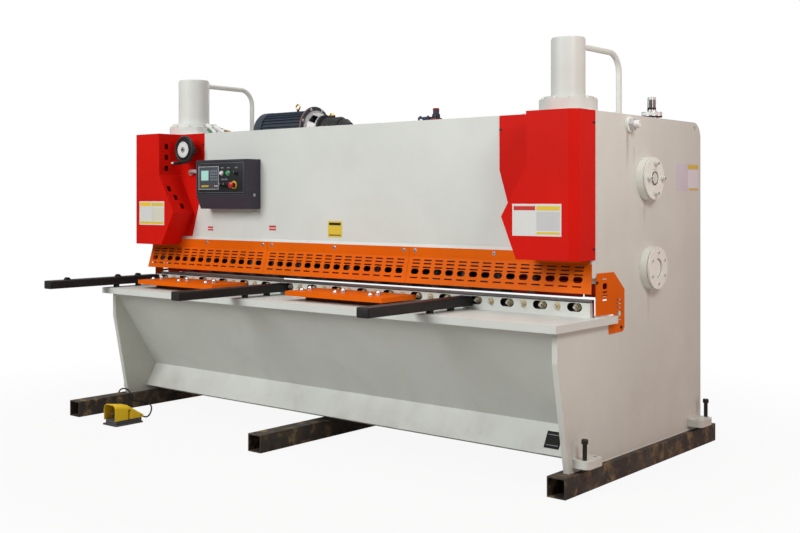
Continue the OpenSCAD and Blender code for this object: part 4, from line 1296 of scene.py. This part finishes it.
NOTICE = ((0.03, 0.80, 0.475, 0.93, "label_red"), (0.50, 0.80, 0.97, 0.93, "label_yellow"),
          (0.50, 0.17, 0.97, 0.76, "label_grey"), (0.50, 0.06, 0.97, 0.13, "label_yellow"))
LEFT_NOTICE = ((0.03, 0.80, 0.475, 0.95, "hood_yellow"), (0.50, 0.80, 0.97, 0.93, "label_yellow"),
               (0.50, 0.20, 0.97, 0.74, "label_cream"), (0.03, 0.04, 0.97, 0.14, "label_yellow"))
SMALL_NOTICE = ((0.38, 0.56, 0.94, 0.84, "label_red"), (0.38, 0.16, 0.94, 0.42, "label_red"))
PLATES = (
    Plate("right_cover_plate", Axis.Y, -147.0, (1352, 1240), (1633, 1401), "label_white",
          "white_paint", NOTICE),
    Plate("left_cover_plate", Axis.Y, -147.0, (-1640, 1251), (-1378, 1411), "label_white",
          "white_paint", LEFT_NOTICE),
    Plate("side_plate_sheet", Axis.X, 1710.0, (990, 1471), (1290, 1626), "label_lilac", "white_paint",
          ((0.50, 0.82, 0.97, 0.97, "label_yellow"), (0.50, 0.12, 0.97, 0.78, "label_pale"),
           (0.55, 0.03, 0.97, 0.10, "label_yellow"))),
    Plate("left_small_plate", Axis.Y, 40.0, (-1182, 1209), (-1093, 1250), "label_white", "white_paint",
          SMALL_NOTICE),
    Plate("middle_small_plate", Axis.Y, 40.0, (-611, 1220), (-505, 1265), "label_white", "white_paint",
          SMALL_NOTICE),
    Plate("panel_notice", Axis.Y, 40.0, (-70, 1196), (42, 1293), "label_yellow", "yellow_paint",
          ((0.08, 0.74, 0.92, 0.90, "plate_black"), (0.08, 0.10, 0.92, 0.16, "plate_black"))),
)


@dataclass
class ControlPanel:
    """Front of the control box: recessed board, display, keys, buttons and lock."""

    face: float = -85.0

    def build(self, finishes: Finishes) -> None:
        """Makes the board with its parts.

        Args:
            finishes: the machine's finishes.
        """
        y = self.face
        board = Shape(finishes)
        board.box((-1109, y - 1.5, 1458), (-667, y - 0.2, 1668), "panel_black", 0.4)
        self._frame(board, (-1116, 1451), (-660, 1675), 7, y - 4.0, y - 0.2, "panel_grey")
        self._frame(board, (-1100, 1467), (-676, 1659), 1.8, y - 2.0, y - 1.4, "screen_bezel")
        self._frame(board, (-1097, 1488), (-904, 1638), 4, y - 5.0, y - 1.4, "bezel_light")
        board.box((-1092, y - 2.5, 1493), (-909, y - 1.4, 1633), "panel_slate", 0.3)
        board.box((-1076, y - 3.2, 1544), (-999, y - 2.4, 1614), "screen_bezel", 0.3)
        board.box((-1072, y - 3.6, 1548), (-1003, y - 3.1, 1610), "screen_green", 0.0)
        for i in range(4):
            board.box((-1069 + i * 18, y - 5.0, 1504), (-1055 + i * 18, y - 2.4, 1516), "key_yellow", 0.8)
            for j in range(4):
                board.box((-985 + i * 18, y - 4.2, 1546 + j * 18), (-971 + i * 18, y - 2.4, 1558 + j * 18),
                          "screen_bezel", 0.8)
        for x, finish in ((-965, "button_red"), (-938, "button_white"), (-920, "button_white")):
            board.turned([(0, 0), (0, 5), (3, 5), (4, 4), (4, 0)], Axis.FRONT, (x, y - 2.4, 1510),
                         finish, 20)
        board.finish("control_board", Body.FRAME, "box_paint")
        keys = Shape(finishes)
        for x, z, finish in ((-873, 1593, "button_white"), (-814, 1592, "button_green")):
            keys.turned([(0, 0), (0, 17), (5, 17), (7, 15), (7, 0)], Axis.FRONT, (x, y - 1.4, z),
                        "zinc", 32)
            keys.turned([(7, 0), (7, 12.5), (13, 12.5), (16, 10), (17, 6), (17, 0)], Axis.FRONT,
                        (x, y - 1.4, z), finish, 32)
        for x, z in ((-742, 1593), (-870, 1518), (-837, 1517)):
            keys.turned([(0, 0), (0, 15), (5, 15), (6, 12), (16, 11), (18, 9), (18, 0)], Axis.FRONT,
                        (x, y - 1.4, z), "plastic_black", 32)
            keys.box((x - 3, y - 26, z - 11), (x + 3, y - 14, z + 11), "plastic_black", 1.0)
            keys.box((x - 1, y - 26.6, z + 2), (x + 1, y - 25.8, z + 10), "button_white", 0.0)
        for x in (-873, -814, -742, -870, -837):
            z = 1627 if x in (-873, -814, -742) else 1552
            keys.box((x - 13, y - 1.9, z - 4), (x + 13, y - 1.4, z + 4), "screen_bezel", 0.0)
        keys.turned([(0, 0), (0, 26), (2, 26), (3, 25), (3, 0)], Axis.FRONT, (-761, y - 1.4, 1516),
                    "key_yellow", 44)
        keys.turned([(3, 0), (3, 15), (14, 14), (14, 0)], Axis.FRONT, (-761, y - 1.4, 1516),
                    "plastic_black", 32)
        keys.turned([(0, 0), (0, 10), (3, 10), (4, 9), (4, 0)], Axis.X, (-650, -17, 1451), "zinc", 28)
        keys.box((-646.5, -18.5, 1445), (-645.6, -15.5, 1457), "black_oxide", 0.0)
        keys.finish("control_keys", Body.FRAME, "black_plastic")
        conduit = Shape(finishes)
        conduit.tube([(-1125, 0, 1604), (-1150, 0, 1604), (-1200, 0, 1607), (-1240, 0, 1612),
                      (-1275, 4, 1614), (-1300, 14, 1610), (-1308, 27, 1606), (-1309, 37, 1605)], 13,
                     "conduit_grey", 20)
        for x in (-1132, -1160):
            conduit.turned([(0, 0), (0, 19), (14, 19), (14, 0)], Axis.BACK, (x, 0, 1604), "conduit_grey", 6)
        conduit.turned([(0, 0), (0, 20), (10, 20), (12, 17), (12, 0)], Axis.FRONT, (-1309, 37, 1605),
                       "conduit_grey", 28)
        conduit.finish("control_conduit", Body.FRAME, "plated_steel")

    @staticmethod
    def _frame(shape: Shape, low: tuple, high: tuple, width: float, front: float, back: float,
               finish: str) -> None:
        """Adds four bars round a rectangle in X and Z."""
        (x0, z0), (x1, z1) = low, high
        for a, b in (((x0, z1 - width), (x1, z1)), ((x0, z0), (x1, z0 + width)),
                     ((x0, z0 + width), (x0 + width, z1 - width)),
                     ((x1 - width, z0 + width), (x1, z1 - width))):
            shape.box((a[0], front, a[1]), (b[0], back, b[1]), finish, 0.3)


@dataclass
class StopButton:
    """Mushroom head and stem of the emergency stop."""

    x: float = -761.0
    z: float = 1516.0
    face: float = -85.0

    def build(self, finishes: Finishes) -> None:
        """Makes the button on its own body."""
        shape = Shape(finishes)
        shape.turned([(-33, 0), (-33, 8.9), (24, 8.9), (24, 17), (27, 20), (32, 20), (36, 18.5),
                      (39, 14), (40, 8), (40, 0)], Axis.FRONT, (self.x, self.face, self.z),
                     "button_red", 40)
        shape.finish("stop_head", Body.STOP, "red_plastic", ("emergency_stop",))


@dataclass
class BladeGapWheel:
    """Handwheel with its dial and crank handle."""

    x: float = -1281.0
    y: float = -52.0
    z: float = 1757.0

    def build(self, finishes: Finishes) -> None:
        """Makes the wheel on its own body.

        Args:
            finishes: the machine's finishes.
        """
        c = (self.x, self.y, self.z)
        shape = Shape(finishes)
        shape.ring(Axis.FRONT, c, 82, 12, "plastic_black", 72, 18)
        shape.turned([(-14, 0), (-14, 30), (-8, 34), (-5, 74), (5, 76), (7, 60), (14, 58), (14, 0)],
                     Axis.FRONT, c, "plastic_black", 56)
        shape.turned([(14, 0), (14, 54), (15.5, 53), (15.5, 0)], Axis.FRONT, c, "dial_white", 56)
        shape.turned([(15.5, 0), (15.5, 20), (18, 18), (18, 0)], Axis.FRONT, c, "zinc", 32)
        shape.turned([(18, 0), (18, 7), (22, 6), (22, 0)], Axis.FRONT, c, "black_oxide", 6)
        for k in range(24):
            a = math.radians(15 * k)
            long = 12 if k % 6 == 0 else 7
            r0, r1 = 50 - long, 50
            x0, z0, x1, z1 = (self.x + r0 * math.sin(a), self.z + r0 * math.cos(a),
                              self.x + r1 * math.sin(a), self.z + r1 * math.cos(a))
            shape.tube([(x0, self.y - 15.4, z0), (x1, self.y - 15.4, z1)], 0.9, "black_oxide", 6)
        shape.turned([(-109, 0), (-109, 13.9), (-14, 13.9), (-14, 0)], Axis.FRONT, c, "dark_steel", 32)
        grip = (self.x - 18, self.y, self.z - 91)
        shape.turned([(8, 0), (8, 8), (22, 8), (24, 10), (60, 11.5), (82, 10), (86, 8), (86, 0)],
                     Axis.FRONT, grip, "plastic_black", 28)
        shape.turned([(86, 0), (86, 7), (95, 7), (98, 4), (98, 0)], Axis.FRONT, grip, "dial_white", 24)
        shape.finish("blade_gap_wheel", Body.WHEEL, "black_plastic", ("handwheel",))


class DriveTrim:
    """Fittings of the motor, pump, valves, cylinders and tank."""

    def build(self, finishes: Finishes) -> None:
        """Makes the drive's small parts.

        Args:
            finishes: the machine's finishes.
        """
        motor = Shape(finishes)
        motor.ring(Axis.Y, (-754, 500, 2048), 17, 5, "brass", 32, 12)
        motor.turned([(0, 0), (0, 15), (6, 15), (6, 9), (24, 8), (24, 0)], Axis.Z, (-754, 500, 2008),
                     "brass", 24)
        motor.turned([(0, 118), (0, 152), (3, 153), (9, 153), (12, 151), (12, 118)], Axis.X,
                     (-603, 500, 1890), "motor_end", 64)
        motor.box((-900, 600, 1860), (-790, 665, 1950), "motor_blue", 6.0)
        motor.box((-894, 665, 1866), (-796, 671, 1944), "motor_blue", 2.0)
        for k in range(7):
            r = 20 + 14 * k
            motor.ring(Axis.BACK, (-1069, 500, 1890), r, 1.6, "black_oxide", 48, 8)
        motor.finish("motor_fittings", Body.FRAME, "motor_paint")
        bell = Shape(finishes)
        bell.turned([(0, 0), (0, 34), (26, 34), (26, 40), (40, 40), (40, 34), (64, 34), (64, 0)],
                    Axis.X, (-588, 500, 1890), "black_oxide", 32)
        bell.finish("pump_coupling", Body.FRAME, "dark_iron")
        pump = Shape(finishes)
        for x, y, z, axis in ((-446, 416, 1890, Axis.FRONT), (-446, 500, 1976, Axis.Z)):
            pump.turned([(0, 0), (0, 17), (10, 17), (10, 12), (16, 12), (16, 0)], axis, (x, y, z),
                        "brass", 6)
        pump.tube([(-446, 400, 1890), (-446, 380, 1890), (-440, 366, 1882), (-425, 360, 1862),
                   (-420, 360, 1820), (-420, 360, 1726)], 11, "conduit_grey", 16)
        pump.tube([(-420, 360, 1740), (-400, 362, 1728), (-300, 372, 1724), (-100, 400, 1724),
                   (120, 440, 1730), (210, 470, 1760), (236, 480, 1800), (252, 480, 1815)], 11,
                  "rubber_black", 16)
        pump.finish("pump_fittings", Body.FRAME, "dark_iron")
        valve = Shape(finishes)
        valve.turned([(0, 0), (0, 14), (4, 14), (5, 11), (5, 0)], Axis.FRONT, (318, 460, 1900),
                     "dial_white", 28)
        valve.turned([(0, 0), (0, 19.5), (14, 19.5), (16, 16), (16, 0)], Axis.Z, (400, 500, 1962),
                     "valve_red", 32)
        valve.box((379, 467, 1871), (423, 533, 1917), "valve_red", 3.0)
        valve.box((384, 478, 1917), (416, 522, 1934), "plastic_black", 3.0)
        valve.finish("valve_fittings", Body.FRAME, "valve_paint")
        hoses = Shape(finishes)
        for x, drop in ((-1232, 0), (-1150, 14)):
            hoses.tube([(x, 104, 1926 - drop), (x + 30, 104, 1916 - drop), (x + 62, 104, 1898 - drop),
                        (x + 84, 104, 1878), (x + 90, 104, 1868)], 15, "button_white", 18)
            hoses.turned([(0, 0), (0, 19), (16, 19), (18, 16), (18, 0)], Axis.BACK,
                         (x + 2, 104, 1926 - drop), "bell_grey", 6)
        hoses.tube([(-1215, 98, 1898), (-1188, 98, 1876), (-1180, 98, 1868)], 9, "conduit_green", 14)
        hoses.tube([(-1085, 104, 1888), (-1040, 104, 1880), (-1002, 104, 1872), (-985, 104, 1860)], 8,
                   "brass", 14)
        hoses.turned([(0, 0), (0, 13), (20, 13), (20, 0)], Axis.X, (-1096, 104, 1888), "brass", 6)
        hoses.finish("cylinder_hoses", Body.FRAME, "plated_steel")
        tank = Shape(finishes)
        tank.box((-210, 830, 1725), (210, 1170, 1733), "cream_paint", 1.5)
        tank.turned([(0, 0), (0, 46), (60, 46), (66, 40), (66, 0)], Axis.Z, (700, 1050, 1725),
                    "black_oxide", 40)
        tank.box((1180, 1200, 1560), (1216, 1214, 1690), "black_oxide", 2.0)
        tank.box((1188, 1213, 1575), (1208, 1216, 1675), "sight_tube", 1.0)
        tank.turned([(0, 0), (0, 22), (14, 22), (14, 15), (24, 15), (24, 0)], Axis.Y,
                    (-1450, 1200, 1530), "gold_zinc", 6)
        tank.finish("tank_fittings", Body.FRAME, "white_paint")
        cap = Shape(finishes)
        cap.turned([(0, 0), (0, 60), (6, 60), (6, 0)], Axis.Z, (1500, 1120, 1902), "plastic_black", 40)
        cap.turned([(0, 0), (0, 59), (14, 59), (18, 54), (18, 0)], Axis.Z, (1500, 1120, 1914),
                   "dial_white", 40)
        cap.turned([(0, 0), (0, 25), (12, 25), (12, 0)], Axis.Z, (1500, 1120, 1946), "plastic_black", 32)
        cap.turned([(12, 0), (12, 23), (58, 23), (58, 0)], Axis.Z, (1500, 1120, 1946), "smoked", 32)
        cap.turned([(58, 0), (58, 24), (70, 24), (75, 17), (75, 0)], Axis.Z, (1500, 1120, 1946),
                   "silver", 32)
        for k in range(6):
            a = math.radians(60 * k + 10)
            spot = (1500 + 23 * math.cos(a), 1120 + 23 * math.sin(a), 1958)
            cap.turned([(0, 0), (0, 2.2), (46, 2.2), (46, 0)], Axis.Z, spot, "silver", 10)
        cap.finish("breather_cap", Body.FRAME, "plated_steel")


class BenchTrim:
    """Parts on the table: ball tops, arm plugs, seats and rail colours."""

    def build(self, finishes: Finishes) -> None:
        """Makes the table's small parts.

        Args:
            finishes: the machine's finishes.
        """
        balls = Shape(finishes)
        for x0 in (-1498, -129):
            for i in range(3):
                for y, rise in ((-185, 17), (-115, 24)):
                    centre = (x0 + 54 + i * 262, y, 886 + rise - 13)
                    profile = [(-13.4 * math.cos(math.pi * k / 9), 13.4 * math.sin(math.pi * k / 9))
                               for k in range(10)]
                    balls.turned(profile, Axis.Z, centre, "ball_chrome", 24)
                    balls.turned([(0, 0), (0, 21), (2, 21), (3, 19), (3, 0)], Axis.Z,
                                 (centre[0], y, 886), "zinc", 28)
                    balls.turned([(0, 0), (0, 18.4), (rise - 13.5, 18.4), (rise - 12, 16),
                                  (rise - 12, 0)], Axis.Z, (centre[0], y, 886), "zinc", 28)
        balls.finish("tray_balls", Body.FRAME, "plated_steel")
        end = Shape(finishes)
        end.loft([[(1698, y, 1100), (1708, y, 1100), (1728, y - 44, 955), (1698, y - 44, 955)]
                  for y in (18, 22)], "guard_orange")
        end.finish("right_guard_end", Body.FRAME, "orange_paint")
        plate = Shape(finishes)
        for x0, x1, low, high, lift, finish in ((1467, 1553, 165, 243, 2.0, "black_and_pocket_shade"),
                                                (1475, 1545, 226, 229, 2.4, "screen_bezel"),
                                                (1475, 1545, 178, 181, 2.4, "screen_bezel")):
            rows = []
            for rise in (-0.4, lift):
                rows.append([(x, 29 - (280 - z) * 0.5625 - rise * 0.872, z + rise * 0.49)
                             for x, z in ((x0, low), (x1, low), (x1, high), (x0, high))])
            plate.loft(rows, finish)
        plate.finish("apron_data_plate", Body.FRAME, "black_paint")
        foot = Shape(finishes)
        for low, high in ((-1668, -1606), (1606, 1668)):
            foot.box((low, 131, 926), (high, 174, 952), "ram_red_shaded_middle", 1.5)
        for low, high in ((-1668, -1652), (1652, 1668)):
            foot.box((low, 176, 926), (high, 300, 1155), "ram_red_shaded_middle", 1.5)
        foot.finish("ram_ends", Body.RAM, "red_paint")
        bracket = Shape(finishes)
        bracket.box((-1716, 34, 958), (-1672, 40, 1098), "ram_red_shaded_middle", 1.0)
        bracket.finish("left_guard_bracket", Body.FRAME, "red_paint")
        plugs = Shape(finishes)
        for x0 in (-1735, -478, 907):
            plugs.box((x0 + 3, -847, 851), (x0 + 75, -842.5, 897), "plastic_black", 2.0)
        plugs.finish("arm_plugs", Body.FRAME, "black_plastic")
        rails = Shape(finishes)
        for x0 in (-1498, -129):
            for y in (-185, -35):
                rails.box((x0 + 84.6, y - 0.4, 830.2), (x0 + 645.4, y + 50.4, 882.6), "tray_support", 0.0)
        rails.finish("tray_rails", Body.FRAME, "skid_steel")


class BaseTrim:
    """Levelling screws, weld beads and foot pedal parts."""

    @staticmethod
    def hood(finishes: Finishes) -> None:
        """Makes the pedal's arched hood with its step and seam."""
        x0, half, low = -1277.0, 57.0, 32.0
        hood = Shape(finishes)

        def arch(y: float, top: float, inset: float, corner: float) -> list[Triple]:
            r = min(corner, top - low - 4) - inset
            reach, crown = half - inset, top - inset
            side = [(x0 + reach, y, low)]
            for k in range(9):
                a = math.radians(90 * k / 8)
                side.append((x0 + reach - r + r * math.cos(a), y, crown - r + r * math.sin(a)))
            return side + [(2 * x0 - x, y, z) for x, _, z in reversed(side)]

        def band(y: float, top: float, corner: float, wall: float = 3.0) -> list[Triple]:
            return arch(y, top, 0.0, corner) + arch(y, top, wall, corner)[::-1]

        hood.loft([band(-671, 131, 28), band(-664, 132, 28), band(-566, 118, 25), band(-558, 115, 24),
                   band(-500, 80, 20), band(-449, 49, 14)], "hood_yellow")
        hood.loft([arch(-450, 48.5, 1.0, 14), arch(-447, 47.5, 0.0, 14)], "hood_yellow")
        rim = [arch(y, 131 + g, -g, 28 + g) + arch(y, 131 + g, 2.0, 28)[::-1]
               for y, g in ((-673, 0.6), (-666, 1.4))]
        hood.loft(rim, "hood_yellow")
        hood.loft([band(-569, 119.4, 26, 4.0), band(-561, 118.0, 26, 4.0)], "hood_yellow")
        for x, axis in ((-1219.4, Axis.X), (-1334.6, Axis.BACK)):
            for y, z in ((-556, 88), (-470, 44)):
                hood.turned([(0, 0), (0, 4.6), (1.8, 4.0), (2.2, 0)], axis, (x, y, z), "black_oxide", 20)
        hood.finish("pedal_hood_shell", Body.FRAME, "yellow_paint", ("pedal_hood",))

    def build(self, finishes: Finishes) -> None:
        """Makes the lower parts.

        Args:
            finishes: the machine's finishes.
        """
        screws = Shape(finishes)
        for side in (-1, 1):
            for x, y in ((1762, -150), (1755, 1285)):
                screws.turned([(0, 0), (0, 11), (82, 11), (82, 0)], Axis.Z, (side * x, y, 164), "black_oxide",
                              20)
        screws.finish("levelling_screws", Body.FRAME, "black_paint")
        welds = Shape(finishes)
        for side in (-1, 1):
            for y0, y1 in ((-176, -16), (1136, 1296)):
                for z in (124, 166):
                    welds.tube([(side * 1710.5, y0, z), (side * 1710.5, y1, z)], 4, "cream_paint", 8)
            for x in (1680, 1710):
                welds.tube([(side * x, -190, 101), (side * x, 1300, 101)], 3.5, "cream_paint", 8)
        welds.finish("weld_beads", Body.FRAME, "white_paint")
        self.hood(finishes)
        tread = Shape(finishes)
        tread.prism([(-644.6, 67.8), (-644.6, 73.6), (-515, 59.4), (-515, 52.6)], Axis.X, -1313.4,
                    -1240.6, "pedal_grey", 0.6)
        for k in range(7):
            y = -638 + k * 15
            z = 73.4 - (y + 645) * 0.1085
            tread.tube([(-1309, y, z), (-1245, y, z)], 1.6, "rubber_black", 8)
        tread.turned([(0, 0), (0, 3.9), (99, 3.9), (99, 0)], Axis.X, (-1326.5, -515, 56), "zinc", 20)
        tread.finish("treadle_plate", Body.TREADLE, "plated_steel", ("pedal_treadle",))
        sole = Shape(finishes)
        sole.turned([(0, 0), (0, 11), (8, 11), (9, 9), (9, 0)], Axis.Y, (-1277, -462.5, 22),
                    "plastic_black", 6)
        sole.finish("pedal_gland_nut", Body.FRAME, "black_plastic")


class SideTrim:
    """Dark stud and clevis high on each side plate, and hub caps."""

    def build(self, finishes: Finishes) -> None:
        """Makes both sides.

        Args:
            finishes: the machine's finishes.
        """
        for side, axis, label in ((1, Axis.X, "right"), (-1, Axis.BACK, "left")):
            shape = Shape(finishes)
            x = side * 1710
            shape.turned([(0, 0), (0, 41), (13, 41), (15, 38), (15, 0)], axis, (x, 410, 1815),
                         "fitting_white", 40)
            shape.turned([(15, 0), (15, 33), (33, 33), (35, 30), (35, 0)], axis,
                         (x, 410, 1815), "silver", 6)
            shape.turned([(34, 0), (34, 21), (62, 21), (65, 18), (65, 11), (54, 10), (54, 0)], axis,
                         (x, 410, 1815), "dial_white", 28)
            # A thin black disc at the bottom of the cap's bore: painted shade in the hole.
            shape.turned([(54, 0), (54, 10), (54.6, 10), (54.6, 0)], axis, (x, 410, 1815), "black_oxide", 20)
            shape.turned([(49, 0), (49, 29), (52.5, 29), (54, 27), (54, 0)], axis, (x, 612, 1536),
                         "cream_paint", 40)
            shape.ring(axis, (x + side * 50, 612, 1536), 34, 3.0, "plate_black", 56, 10)
            shape.turned([(36.2, 0), (36.2, 108.6), (39.8, 108.6), (39.8, 0)], axis, (x, 655, 1055),
                         "dark_steel", 72)
            shape.ring(axis, (x + side * 40.4, 655, 1055), 50.5, 1.2, "dark_steel", 56, 8)
            shape.finish(f"{label}_stud", Body.FRAME, "white_paint")


def main() -> None:
    """Builds the scene in order."""
    logging.basicConfig(level=logging.INFO, format="%(name)s: %(message)s")
    Studio().build()
    finishes = Finishes()
    PedalCable().build(finishes)
    Paintwork().build(finishes)
    rows = FastenerRow(finishes)
    BladeBlock().build(finishes, rows)
    Hardware().build(rows)
    for plate in PLATES:
        plate.build(finishes)
    for piece in (ControlPanel(), StopButton(), BladeGapWheel(), DriveTrim(), BenchTrim(), BaseTrim(),
                  SideTrim()):
        piece.build(finishes)


if __name__ == "__main__":
    main()
